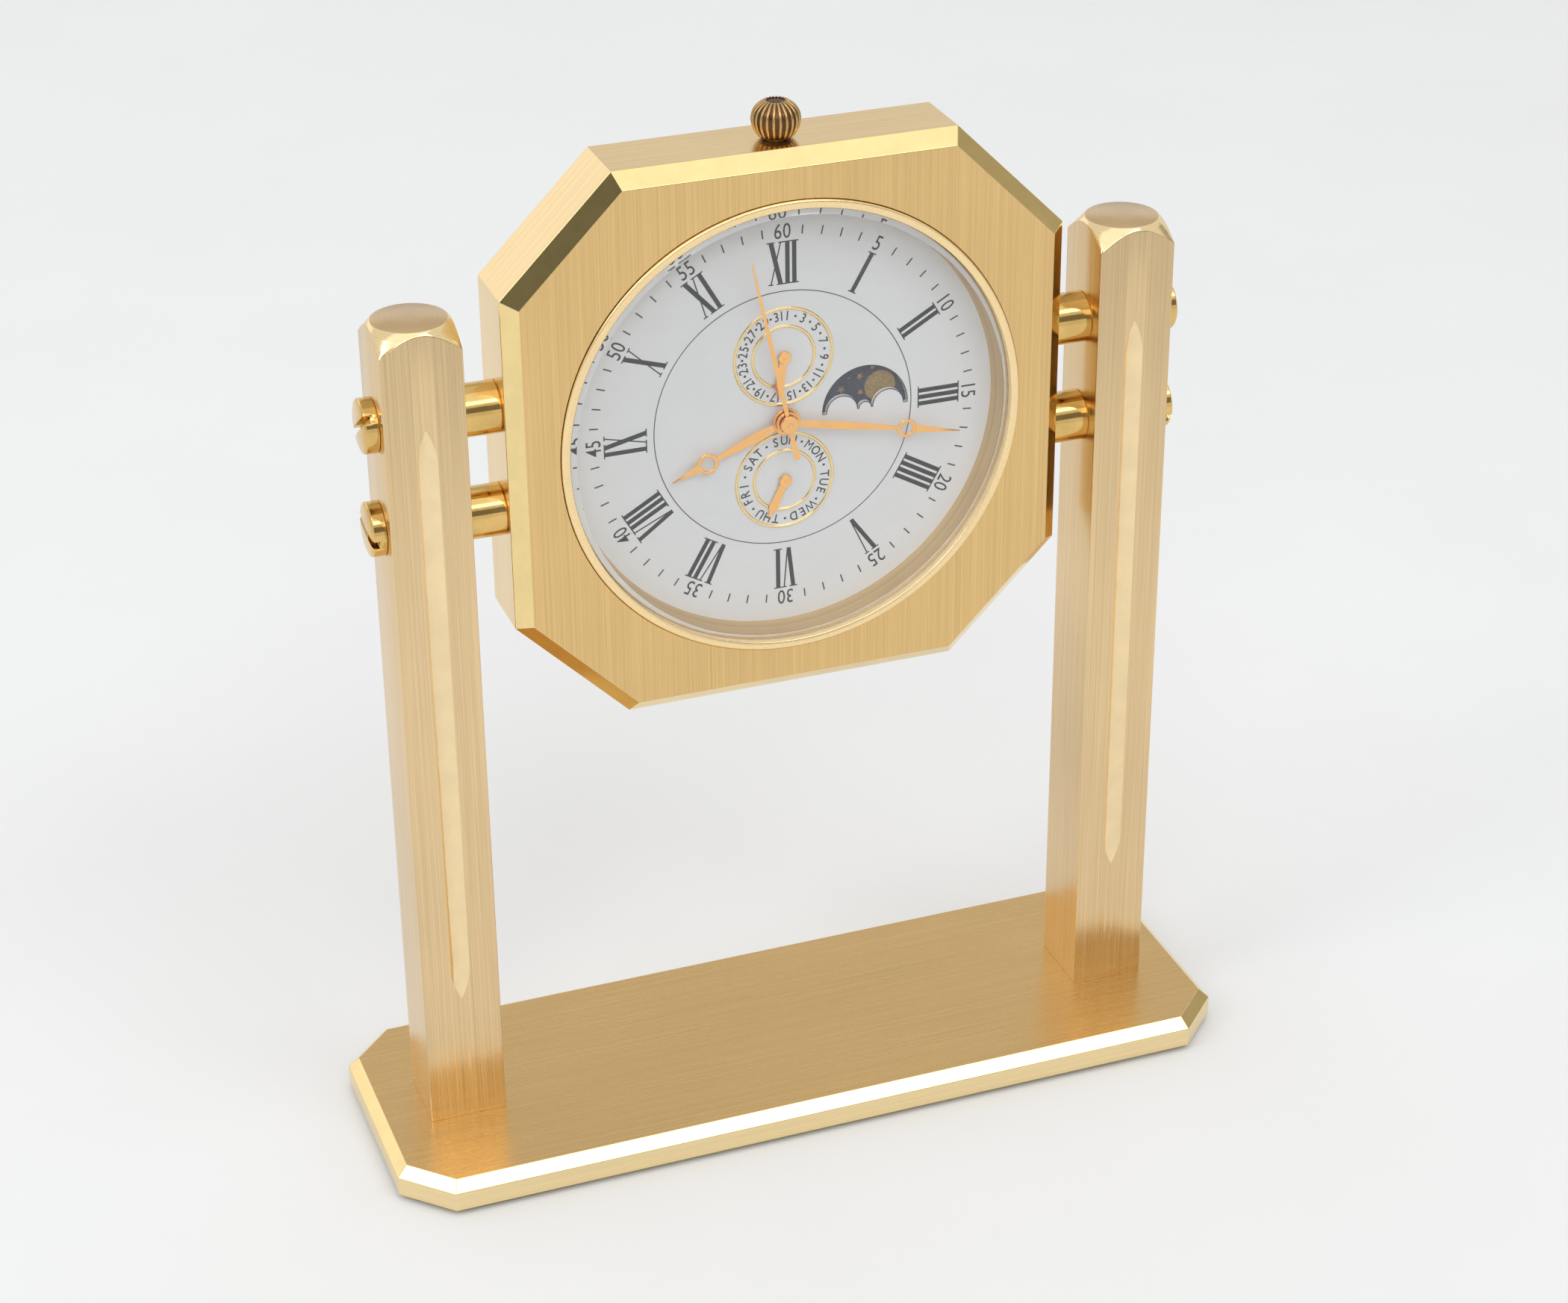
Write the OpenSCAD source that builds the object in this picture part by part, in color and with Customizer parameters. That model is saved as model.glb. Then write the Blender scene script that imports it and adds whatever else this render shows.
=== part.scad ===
// Desk clock with calendar: a square brass case between two posts on a long base plate.
// Millimetres. +Z is up, the dial faces -Y, and the origin is the middle of the felt's underside.

/* [Base] */
// Length of the base plate
base_l = 92; // [88:0.5:110]
// Depth of the base plate, front to back
base_d = 30.7; // [22:0.1:45]
// Thickness of the base plate
base_t = 3.2; // [2.6:0.1:6]
// Corner cut of the base plate, along each side
base_cut = 4.8; // [2:0.1:8]
// Bevel round the top of the base plate
base_bevel = 1.1; // [0.4:0.1:1.8]
// Thickness of the felt under the base
felt_t = 0.6; // [0.4:0.1:2]
// Distance from the base's edge to the felt's edge
felt_inset = 1.2; // [0.4:0.1:3]

/* [Posts] */
// Side of the square posts
post_w = 8; // [7:0.1:12]
// Height of the posts above the base
post_h = 88.1; // [84:0.1:100]
// Radius of the flat turned top of a post
post_top_r = 3.7; // [2.5:0.1:3.9]
// Fall of the turned cone per millimetre of radius
post_cone = 1.12; // [0.6:0.01:1.6]
// Width of the milled flute in the front of a post
flute_w = 2; // [0.8:0.1:3]
// Depth of the flute
flute_depth = 0.4; // [0.2:0.05:0.8]
// Height of the flute's lower end above the base
flute_low = 14.55; // [8:0.05:25]
// Distance from the flute's upper end to the post's top
flute_top = 9.85; // [8:0.05:20]
// Length of the flute's pointed ends
flute_point = 3.8; // [1:0.1:6]

/* [Screws and spacers] */
// Radius of the spacers between post and case
spacer_r = 2.6; // [2.2:0.1:3.6]
// Length of the spacers
spacer_l = 3.9; // [2:0.05:8]
// Height of the upper and lower spacers from the case's centre
spacer_dz = 5.4; // [4:0.1:10]
// Radius of the case screws' shanks
case_screw_r = 1.5; // [1:0.05:1.8]
// Radius of the case screws' heads
case_screw_head_r = 2.7; // [2.2:0.1:3.6]
// Thickness of the case screws' heads
case_screw_head_t = 1.6; // [1:0.1:2.4]
// Depth of a case screw in the case's wall
case_screw_grip = 3.4; // [2:0.1:4.5]
// Radius of the base screws' shanks
base_screw_r = 2; // [1.5:0.05:2.4]
// Radius of the base screws' heads
base_screw_head_r = 3.6; // [3:0.1:4.4]
// Length of a base screw inside the post
base_screw_grip = 9; // [5:0.5:16]

/* [Case] */
// Width of the case
case_w = 57.3; // [54:0.1:64]
// Height of the case
case_h = 56.9; // [54:0.1:64]
// Depth of the case, front to back
case_d = 9.15; // [9:0.05:12]
// Corner cut of the case, along each side
case_cut = 11.3; // [7:0.1:14]
// Bevel round the front of the case
case_bevel = 1.5; // [0.5:0.1:2]
// Bevel round the back of the case
case_back_bevel = 0.4; // [0.2:0.1:1]
// Height of the case's centre above the top of the base
case_rise = 72.5; // [64:0.1:80]

/* [Glass and dial] */
// Outer radius of the bezel ring
ring_r = 23.72; // [21.8:0.01:24.4]
// Width of the bezel ring's face
ring_w = 0.87; // [0.6:0.01:1.4]
// Height of the bezel ring above the case's front
ring_proud = 0.3; // [0.1:0.05:0.8]
// Chamfer on the outer edge of the bezel ring
ring_chamfer = 0.25; // [0.1:0.05:0.4]
// Thickness of the glass
glass_t = 1.1; // [0.8:0.05:1.4]
// Bevel round the glass's front
glass_bevel = 0.6; // [0.1:0.05:0.8]
// Thickness of the gasket behind the glass
gasket_t = 0.2; // [0.1:0.05:0.4]
// Radius of the case's lip that carries the glass
lip_r = 22.5; // [20.8:0.05:22.6]
// Thickness of that lip
lip_t = 0.8; // [0.5:0.05:1.2]
// Radius of the bore behind the lip
bore_r = 22.9; // [22.65:0.05:23.2]
// Height of the sloped ring between lip and dial
slope_t = 1.4; // [1.2:0.05:1.8]
// Radius of the sloped ring where it meets the dial
slope_r = 22.05; // [20:0.05:22.2]
// Thickness of the dial plate
dial_t = 0.4; // [0.2:0.05:0.6]
// Distance of the date and day arbors from the centre
sub_offset = 6.6; // [6.3:0.05:6.9]
// Outer radius of the outer gold ring of a small dial
sub_ring_r = 5.22; // [4.2:0.01:5.3]
// Outer radius of the inner gold ring of a small dial
sub_ring_inner_r = 3.36; // [2:0.01:4]
// Width of the gold rings
sub_ring_w = 0.34; // [0.2:0.01:0.5]
// Height of the gold rings above the dial
sub_ring_t = 0.12; // [0.05:0.01:0.15]

/* [Moon window] */
// Distance of the moon disc's arbor to the right of the centre
moon_x = 8.55; // [8.3:0.05:8.8]
// Height of the moon disc's arbor above the centre
moon_z = -0.2; // [-0.5:0.05:0.5]
// Radius of the window's arch
window_r = 4.45; // [3.6:0.05:4.5]
// Distance of the window's two humps from the arbor
hump_x = 2.43; // [2:0.01:2.6]
// Radius of the two humps
hump_r = 1.68; // [1.2:0.01:1.8]
// Radius of the small hump in the middle
hump_mid_r = 0.72; // [0.4:0.01:1]

/* [Hands] */
// Length of the hour hand
hour_l = 12.75; // [10:0.05:15]
// Distance of the hour hand's open ring from the centre
hour_ring_at = 8.8; // [7:0.05:9.5]
// Length of the minute hand
minute_l = 18.7; // [16:0.05:20]
// Distance of the minute hand's open ring from the centre
minute_ring_at = 12.85; // [11:0.05:14]
// Outer radius of the hour hand's ring
hour_ring_r = 1.1; // [0.8:0.02:1.3]
// Outer radius of the minute hand's ring
minute_ring_r = 0.98; // [0.8:0.02:1.3]
// Width of both rings' metal
hand_ring_w = 0.36; // [0.2:0.02:0.5]
// Length of the seconds hand
seconds_l = 17.6; // [14:0.05:20]
// Length of the seconds hand's tail
seconds_tail = 4; // [2:0.05:6]
// Length of the date and day hands
small_hand_l = 4.15; // [3:0.05:4.6]
// Thickness of the hands
hand_t = 0.15; // [0.1:0.01:0.2]
// Direction of the hour hand, clockwise from twelve
hour_angle = 248.5; // [0:0.5:360]
// Direction of the minute hand
minute_angle = 101.8; // [0:0.1:360]
// Direction of the seconds hand
seconds_angle = 348.1; // [0:0.1:360]
// Direction of the date hand
date_angle = 189.5; // [0:0.5:360]
// Direction of the day hand
day_angle = 204.8; // [0:0.1:360]

/* [Movement] */
// Radius of the movement
movement_r = 13.8; // [13.6:0.1:16]
// Thickness of the main plate
plate_t = 0.55; // [0.4:0.05:0.6]
// Radius of the button cell
cell_r = 4.75; // [3.4:0.05:4.8]
// Thickness of the button cell
cell_t = 2.05; // [1.6:0.05:2.1]
// Module of the train's teeth
tooth_m = 0.1; // [0.09:0.001:0.1]
// Thickness of the case's back cover
cover_t = 0.9; // [0.6:0.05:1]
// Radius of the case's back cover
cover_r = 25; // [24.7:0.05:25.4]

/* [Crown] */
// Radius of the crown
crown_r = 2.4; // [2:0.05:3.4]
// Height of the crown
crown_h = 3.45; // [2.2:0.05:4]
// Height of the plain neck under the crown's ribs
crown_neck_h = 0.4; // [0.1:0.05:0.6]
// Radius of that neck
crown_neck_r = 1.4; // [1.3:0.05:1.6]
// Radius of the crown's flat top
crown_top_r = 1.15; // [0.6:0.05:1.4]
// Radius at the lower end of the ribs
crown_foot_r = 1.65; // [1.5:0.05:2]
// Gap between the case and the pressed crown
crown_gap = 0.25; // [0.25:0.05:1]
// Number of ribs round the crown
crown_ribs = 24; // [16:1:30]
// Travel of the crown when it is pulled
crown_pull = 1.4; // [0.8:0.1:1.6]
// Radius of the winding stem
stem_r = 0.45; // [0.35:0.01:0.5]

/* [Hidden] */
$fn = 96;

// clearances
thread_gap = 0.05;
press_gap = 0.02;
running_gap = 0.07;
pivot_gap = 0.03;
overcut = 1;

// the frame: base, posts and case
base_top = felt_t + base_t;
post_x = case_w / 2 + spacer_l + post_w / 2;
case_z = base_top + case_rise;
post_top = base_top + post_h;
screw_slot_w = 0.8;
screw_slot_deep = 0.7;
base_screw_sink = base_screw_head_r - base_screw_r;

// heights in front of the case's middle plane; the front is positive
case_front = case_d / 2;
glass_front = case_front + 0.05;
gasket_front = glass_front - glass_t;
lip_front = gasket_front - gasket_t;
slope_front = lip_front - lip_t;
dial_front = slope_front - slope_t;
dial_back = dial_front - dial_t;
cover_front = cover_t - case_front;
glass_r = ring_r - ring_w - 0.05;

// heights of the movement's layers, counted from the dial's back
moon_front = dial_back - 0.08;
moon_t = 0.16;
calendar_bridge_front = dial_back - 0.28;
calendar_bridge_t = 0.08;
star_front = calendar_bridge_front - calendar_bridge_t - 0.06;
star_t = 0.2;
drive_front = star_front - 0.43;
drive_t = 0.15;
hour_wheel_front = drive_front - 0.3;
minute_wheel_front = hour_wheel_front - 0.25;
plate_front = dial_back - 1.65;
plate_back = plate_front - plate_t;
wheel_t = 0.12;
centre_wheel_front = plate_back - 0.12;
third_wheel_front = plate_back - 0.48;
seconds_wheel_front = plate_back - 0.83;
intermediate_wheel_front = plate_back - 1.18;
pinion_over = 0.05;
bridge_front = plate_back - 1.5;
bridge_t = 0.3;
bridge_back = bridge_front - bridge_t;
stator_front = plate_back - 0.4;
stator_t = 0.3;
board_t = 0.2;

// teeth of the train
centre_teeth = 64;
third_teeth = 60;
third_leaves = 8;
seconds_teeth = 60;
seconds_leaves = 8;
intermediate_teeth = 60;
intermediate_leaves = 12;
rotor_leaves = 10;
cannon_leaves = 12;
minute_teeth = 36;
minute_leaves = 10;
hour_teeth = 40;
hour_leaves = 20;
drive_teeth = 40;
date_teeth = 31;
day_teeth = 7;
moon_teeth = 59;

// places of the train's arbors, from the centre of the dial
third_dir = 30;
third_at = tooth_m * (centre_teeth + third_leaves) / 2;
third_m = third_at * 2 / (third_teeth + seconds_leaves);
intermediate_dir = 110;
intermediate_at = tooth_m * (seconds_teeth + intermediate_leaves) / 2;
rotor_dir = 150;
rotor_m = tooth_m * 0.8;
rotor_at = rotor_m * (intermediate_teeth + rotor_leaves) / 2;
minute_dir = 180;
minute_at = tooth_m * (cannon_leaves + minute_teeth) / 2;
hour_m = minute_at * 2 / (minute_leaves + hour_teeth);
drive_at = tooth_m * (hour_leaves + drive_teeth) / 2;
date_drive_dir = 105;
day_drive_dir = 255;
moon_drive_dir = 0;
third_p = polar(third_at, third_dir);
intermediate_p = polar(intermediate_at, intermediate_dir);
rotor_p = intermediate_p + polar(rotor_at, rotor_dir);
minute_p = polar(minute_at, minute_dir);
date_drive_p = polar(drive_at, date_drive_dir);
day_drive_p = polar(drive_at, day_drive_dir);
moon_drive_p = polar(drive_at, moon_drive_dir);
date_p = [0, sub_offset];
day_p = [0, -sub_offset];
moon_p = [moon_x, moon_z];

// arbors
pivot_r = 0.15;
arbor_r = 0.2;
calendar_arbor_r = 0.3;
seconds_arbor_r = 0.2;
cannon_bore_r = seconds_arbor_r + running_gap;
cannon_r = 0.65;
hour_pipe_bore_r = cannon_r + running_gap;
hour_pipe_r = 0.86;
star_r = 2.5;
moon_disc_r = window_r + 0.3;
finger_w = 0.3;
finger_reach = 0.35;

// hands, heights of their blades above the dial
small_hand_lift = 0.2;
hour_hand_lift = 0.65;
minute_hand_lift = 1.05;
seconds_hand_lift = 1.5;
hub_rim = 0.15;

// the rest of the movement
cell_p = [-7.6, -4.4];
cell_pocket_gap = 0.1;
cell_front = plate_back + 0.3;
coil_p = [-4, 9.2];
coil_l = 6.2;
coil_r = 1.1;
coil_core_l = 9;
coil_core_w = 1.2;
coil_core_t = 0.3;
pillar_r = 0.7;
pillars = [[7.4, 1.8], [1, -4.9], [-5.2, 2.3]];
movement_screw_r = 0.35;
movement_screw_head_r = 0.6;
rim_w = 1.4;
holder_gap = 0.1;
holder_lip = 0.6;
stem_end = 9.3;
stem_square = 0.5;
stem_square_end = 12;
pinion_at = 10.4;
pinion_l = 0.8;
pinion_r = 0.62;
pinion_teeth = 16;
stem_block_w = 2.6;
tube_r = 1;
tube_proud = crown_gap - 0.15;
cover_screw_r = 0.75;
cover_screw_head_r = 0.95;
cover_screw_l = 3;
cover_screw_at = bore_r + 0.95;

function polar(r, a) = [r * cos(a), r * sin(a)];

// phase of a wheel of nb teeth that meshes with one of na teeth, phase pa, in direction dir
function mesh_phase(dir, na, nb, pa) = dir + 180 + 180 / nb + (dir - pa) * na / nb;

// distance of a cut corner's flat from the middle of a w by h plate
function cut_at(w, h, cut) = (w / 2 + h / 2 - cut) / sqrt(2);

// places children in the dial's frame: x right, y up, z towards the viewer
module face(p = [0, 0], front = 0) {
    translate([p[0], -front, case_z + p[1]]) rotate([90, 0, 0]) children();
}

// a disc in the dial's frame from height a to height b
module disc(p, a, b, r) {
    face(p, min(a, b)) cylinder(h = abs(b - a), r = r);
}

module cut_corner_shape(w, d, cut) {
    polygon([[w / 2, cut - d / 2], [w / 2, d / 2 - cut], [w / 2 - cut, d / 2], [cut - w / 2, d / 2],
        [-w / 2, d / 2 - cut], [-w / 2, cut - d / 2], [cut - w / 2, -d / 2], [w / 2 - cut, -d / 2]]);
}

// square bars laid on a plate's eight top edges; each cuts an even bevel
module bevel_bars(w, d, cut, bevel, z) {
    edges = [[0, w / 2], [90, d / 2], [180, w / 2], [270, d / 2]];
    for (e = edges) bevel_bar(e[0], e[1], bevel, z, w + d);
    for (a = [45:90:315]) bevel_bar(a, cut_at(w, d, cut), bevel, z, w + d);
}

module bevel_bar(a, at, bevel, z, long) {
    side = bevel * sqrt(2);
    rotate([0, 0, a]) translate([at, 0, z]) rotate([0, 45, 0]) cube([side, long, side], center = true);
}

module slot(w, deep, long, z) {
    translate([-2 * long, -w / 2, z - deep]) cube([4 * long, w, deep + overcut]);
}

module gear(teeth, m, t, phase = 0) {
    pitch = 360 / teeth;
    root = m * (teeth / 2 - 1.2);
    tip = m * (teeth / 2 + 0.9);
    rotate([0, 0, phase]) linear_extrude(t) polygon([for (i = [0:teeth - 1], k = [0:3])
        polar(k == 0 || k == 3 ? root : tip, (i + [-0.24, -0.1, 0.1, 0.24][k]) * pitch)]);
}

module gear_at(p, front, t, teeth, m, phase = 0) {
    face(p, front - t) gear(teeth, m, t, phase);
}

// ------------------------------------------------------------------ frame

module base_plate() {
    color("goldenrod") difference() {
        translate([0, 0, felt_t]) linear_extrude(base_t) cut_corner_shape(base_l, base_d, base_cut);
        bevel_bars(base_l, base_d, base_cut, base_bevel, base_top);
        for (x = [-post_x, post_x]) translate([x, 0, felt_t]) {
            translate([0, 0, -overcut]) cylinder(h = base_t + 2 * overcut, r = base_screw_r + thread_gap);
            translate([0, 0, -thread_gap]) cylinder(h = base_screw_sink + 2 * thread_gap,
                r1 = base_screw_head_r + thread_gap, r2 = base_screw_r);
        }
    }
}

module felt_pad() {
    color("darkgreen") linear_extrude(felt_t)
        cut_corner_shape(base_l - 2 * felt_inset, base_d - 2 * felt_inset, base_cut - felt_inset * 0.6);
}

module post_profile() {
    outer = post_w;
    polygon([[0, 0], [outer, 0], [outer, post_h - (outer - post_top_r) * post_cone],
        [post_top_r, post_h], [0, post_h]]);
}

// the flute's cutter: a rod whose ends narrow so that the cut runs out in a point
module flute() {
    half = flute_w / 2;
    r = (half * half + flute_depth * flute_depth) / (2 * flute_depth);
    core = r - flute_depth;
    low = base_top + flute_low;
    high = post_top - flute_top;
    steps = 8;
    function cut(t) = sqrt(core * core + pow(half * (1 - pow(1 - t, 2)), 2));
    side = [for (i = [0:steps]) [cut(i / steps), low + flute_point * i / steps]];
    top = [for (i = [steps:-1:0]) [cut(i / steps), high - flute_point * i / steps]];
    translate([0, flute_depth - r - post_w / 2, 0]) rotate_extrude()
        polygon(concat([[0, low]], side, top, [[0, high]]));
}

module post(side) {
    color("burlywood") difference() {
        translate([side * post_x, 0, base_top]) intersection() {
            translate([-post_w / 2, -post_w / 2, 0]) cube([post_w, post_w, post_h]);
            rotate_extrude() post_profile();
        }
        translate([side * post_x, 0, 0]) flute();
        translate([side * post_x, 0, base_top - overcut])
            cylinder(h = base_screw_grip + overcut + 0.5, r = base_screw_r + thread_gap);
        for (dz = [-spacer_dz, spacer_dz]) translate([side * post_x, 0, case_z + dz]) rotate([0, 90, 0])
            cylinder(h = post_w + 2 * overcut, r = case_screw_r + thread_gap, center = true);
    }
}

module left_post() { post(-1); }

module right_post() { post(1); }

module base_screws() {
    color("darkgoldenrod") for (x = [-post_x, post_x]) translate([x, 0, felt_t]) difference() {
        union() {
            cylinder(h = base_screw_sink, r1 = base_screw_head_r, r2 = base_screw_r);
            cylinder(h = base_t + base_screw_grip, r = base_screw_r);
        }
        rotate([180, 0, 0]) slot(1, 0.8, base_screw_head_r, 0);
    }
}

module spacers(side) {
    color("gold") for (dz = [-spacer_dz, spacer_dz])
        translate([side * (case_w / 2 + spacer_l / 2), 0, case_z + dz]) rotate([0, 90, 0]) difference() {
            cylinder(h = spacer_l, r = spacer_r, center = true);
            cylinder(h = spacer_l + overcut, r = case_screw_r + thread_gap, center = true);
        }
}

module left_spacers() { spacers(-1); }

module right_spacers() { spacers(1); }

// slotted screws with slightly domed heads; the slots stand at the angles in turns
module case_screws(side, turns) {
    shank = post_w + spacer_l + case_screw_grip;
    edge = 0.35;
    color("goldenrod") for (i = [0, 1])
        translate([side * (post_x + post_w / 2), 0, case_z + (1 - 2 * i) * spacer_dz])
        rotate([0, side * 90, 0]) difference() {
            union() {
                translate([0, 0, -shank]) cylinder(h = shank + edge, r = case_screw_r);
                rotate_extrude() polygon([[0, 0], [case_screw_head_r, 0],
                    [case_screw_head_r, case_screw_head_t - edge],
                    [case_screw_head_r - edge, case_screw_head_t - edge / 3], [0, case_screw_head_t]]);
            }
            rotate([0, 0, turns[i]]) slot(screw_slot_w, screw_slot_deep, case_screw_head_r, case_screw_head_t);
        }
}

module left_case_screws() { case_screws(-1, [-55, 78]); }

module right_case_screws() { case_screws(1, [25, 110]); }

// ------------------------------------------------------------------- case

module case_body() {
    color("khaki") difference() {
        face([0, 0], -case_front) difference() {
            linear_extrude(case_d) cut_corner_shape(case_w, case_h, case_cut);
            bevel_bars(case_w, case_h, case_cut, case_bevel, case_d);
            bevel_bars(case_w, case_h, case_cut, case_back_bevel, 0);
        }
        disc([0, 0], lip_front, case_front + overcut, ring_r + 0.05);
        disc([0, 0], slope_front - overcut, lip_front + overcut, lip_r);
        disc([0, 0], -case_front - overcut, slope_front, bore_r);
        disc([0, 0], -case_front - overcut, cover_front, cover_r + thread_gap);
        for (dz = [-spacer_dz, spacer_dz], side = [-1, 1])
            translate([side * (case_w / 2 + overcut), 0, case_z + dz]) rotate([0, -side * 90, 0])
                cylinder(h = case_screw_grip + overcut + 0.4, r = case_screw_r + thread_gap);
        for (a = [45:90:315]) disc(polar(cover_screw_at, a), cover_front - overcut,
            cover_front + cover_screw_l - cover_t + 0.3, cover_screw_r + thread_gap);
        translate([0, 0, case_z]) cylinder(h = case_h, r = tube_r + press_gap);
    }
}

module bezel_ring() {
    inner = glass_r + 0.05;
    high = case_front + ring_proud - lip_front;
    edge = 0.1;
    color("gold") face([0, 0], lip_front) rotate_extrude($fn = 180) polygon([[inner, 0], [ring_r, 0],
        [ring_r, high - ring_chamfer], [ring_r - ring_chamfer, high], [inner + edge, high],
        [inner, high - edge]]);
}

module crystal() {
    color([0.8, 0.9, 0.95, 0.4]) face([0, 0], gasket_front) rotate_extrude($fn = 180) polygon([[0, 0],
        [glass_r, 0], [glass_r, glass_t - glass_bevel], [glass_r - glass_bevel, glass_t], [0, glass_t]]);
}

module crystal_gasket() {
    color("whitesmoke") face([0, 0], lip_front) difference() {
        cylinder(h = gasket_t, r = glass_r);
        translate([0, 0, -overcut]) cylinder(h = gasket_t + 2 * overcut, r = lip_r);
    }
}

module slope_ring() {
    outer = bore_r - thread_gap;
    color("rosybrown") face([0, 0], dial_front) rotate_extrude($fn = 180) polygon([[slope_r, 0], [outer, 0],
        [outer, slope_t], [lip_r - 0.05, slope_t]]);
}

module moon_window(deep) {
    face(moon_p, dial_back - overcut) linear_extrude(deep) difference() {
        circle(r = window_r);
        translate([-window_r, -window_r - hump_r]) square([2 * window_r, window_r + hump_r]);
        for (x = [-hump_x, hump_x]) translate([x, 0]) circle(r = hump_r);
        circle(r = hump_mid_r);
    }
}

module dial() {
    color("gainsboro") difference() {
        disc([0, 0], dial_back, dial_front, bore_r - thread_gap);
        disc([0, 0], dial_back - overcut, dial_front + overcut, hour_pipe_r + 0.15);
        for (p = [date_p, day_p])
            disc(p, dial_back - overcut, dial_front + overcut, calendar_arbor_r + 0.15);
        moon_window(dial_t + 2 * overcut);
    }
}

module gold_ring(p, r) {
    face(p, dial_front) difference() {
        cylinder(h = sub_ring_t, r = r);
        translate([0, 0, -overcut]) cylinder(h = sub_ring_t + 2 * overcut, r = r - sub_ring_w);
    }
}

module calendar_rings() {
    color("gold") for (p = [date_p, day_p], r = [sub_ring_r, sub_ring_inner_r]) gold_ring(p, r);
}

module movement_holder() {
    inner = movement_r + holder_gap;
    nub = 0.5;
    color("ivory") difference() {
        union() {
            difference() {
                disc([0, 0], cover_front, dial_back, bore_r - thread_gap);
                disc([0, 0], cover_front - overcut, calendar_bridge_front, inner);
                disc([0, 0], cover_front, dial_back + overcut, movement_r - holder_lip);
            }
            for (a = [30, 150, 270]) face([0, 0], plate_back - 0.3) rotate([0, 0, a])
                translate([movement_r - nub / 2, -1.5, 0]) cube([nub, 3, 0.3]);
        }
        translate([0, 0, case_z + movement_r - 2 * holder_lip])
            cylinder(h = bore_r, r = stem_r + 0.35);
        face([0, 0], -2 * stem_r) translate([-stem_block_w / 2 - 0.1, movement_r - 3, 0])
            cube([stem_block_w + 0.2, 3 + holder_gap, dial_back + 2 * stem_r + overcut]);
    }
}

module case_back() {
    color("goldenrod") difference() {
        disc([0, 0], -case_front, cover_front, cover_r);
        for (a = [45:90:315]) {
            disc(polar(cover_screw_at, a), -case_front - overcut, cover_front + overcut,
                cover_screw_r + thread_gap);
            disc(polar(cover_screw_at, a), -case_front - overcut, cover_t / 2 - case_front,
                cover_screw_head_r + thread_gap);
        }
    }
}

module case_back_screws() {
    color("darkgoldenrod") for (a = [45:90:315]) face(polar(cover_screw_at, a), -case_front) difference() {
        union() {
            cylinder(h = cover_t / 2, r = cover_screw_head_r);
            cylinder(h = cover_screw_l, r = cover_screw_r);
        }
        rotate([180, 0, a]) slot(0.35, 0.25, cover_screw_head_r, 0);
    }
}

// --------------------------------------------------------------- movement

// holes for pivots in a plate from height a to b
module pivot_holes(points, a, b) {
    for (p = points) disc(p, a, b, pivot_r + pivot_gap);
}

module main_plate() {
    color("silver") difference() {
        union() {
            disc([0, 0], plate_back, plate_front, movement_r);
            difference() {
                disc([0, 0], plate_back, calendar_bridge_front - calendar_bridge_t, movement_r);
                disc([0, 0], plate_front, dial_back, movement_r - rim_w);
            }
            for (p = pillars) disc(p, bridge_front, plate_back, pillar_r);
            for (x = [-1, 1]) disc([coil_p[0] + x * (coil_core_l - coil_core_w) / 2, coil_p[1]],
                stator_front, plate_back, coil_core_w / 2);
            face([0, 0], plate_back) translate([-stem_block_w / 2, stem_square_end + 0.2, 0])
                cube([stem_block_w, movement_r - stem_square_end - 0.3, dial_back - plate_back - 0.06]);
        }
        disc(cell_p, plate_back - overcut, cell_front, cell_r + cell_pocket_gap);
        face([0, 0], plate_back - overcut)
            translate([coil_p[0] - coil_l / 2 - 0.2, coil_p[1] - coil_r - 0.1, 0])
            cube([coil_l + 0.4, 2 * coil_r + 0.2, plate_t + 2 * overcut]);
        disc([0, 0], plate_back - overcut, plate_front + overcut, cannon_r + running_gap);
        pivot_holes([third_p, intermediate_p, rotor_p, minute_p, date_drive_p, day_drive_p,
            moon_drive_p, date_p, day_p, moon_p], plate_back - overcut, plate_front + overcut);
        for (p = pillars) disc(p, bridge_front - overcut, plate_back, movement_screw_r + press_gap);
        translate([0, 0, case_z + stem_square_end]) cylinder(h = movement_r, r = stem_r + running_gap);
    }
}

module calendar_bridge() {
    back = calendar_bridge_front - calendar_bridge_t;
    color("silver") difference() {
        disc([0, 0], back, calendar_bridge_front, movement_r);
        disc([0, 0], back - overcut, calendar_bridge_front + overcut, hour_pipe_r + 0.15);
        for (p = [date_p, day_p, moon_p, moon_drive_p])
            disc(p, back - overcut, calendar_bridge_front + overcut, calendar_arbor_r + 0.1);
        face([0, 0], back - overcut) translate([-stem_block_w / 2 - 0.1, pinion_at - 0.4, 0])
            cube([stem_block_w + 0.2, movement_r, 2 * overcut + calendar_bridge_t]);
    }
}

module train_bridge() {
    corners = [[8.2, 0.6], [8.2, 3], [3, 5.6], [-1, 6.2], [-4.6, 6.4], [-6.2, 3], [-5.6, 1], [-1.6, -1],
        [-0.4, -5.8], [2.4, -5.8], [3, -2]];
    color("silver") difference() {
        face([0, 0], bridge_back) linear_extrude(bridge_t) polygon(corners);
        pivot_holes([third_p, intermediate_p, rotor_p, [0, 0]], bridge_back - overcut,
            bridge_front + overcut);
        for (p = pillars) disc(p, bridge_back - overcut, bridge_front + overcut, movement_screw_r + press_gap);
    }
}

module movement_screws() {
    long = 1.4;
    color("steelblue") for (p = pillars) face(p, bridge_back) difference() {
        union() {
            cylinder(h = long, r = movement_screw_r);
            translate([0, 0, -0.25]) cylinder(h = 0.25, r = movement_screw_head_r);
        }
        translate([0, 0, -0.25]) rotate([180, 0, 40]) slot(0.2, 0.12, movement_screw_head_r, 0);
    }
}

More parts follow.
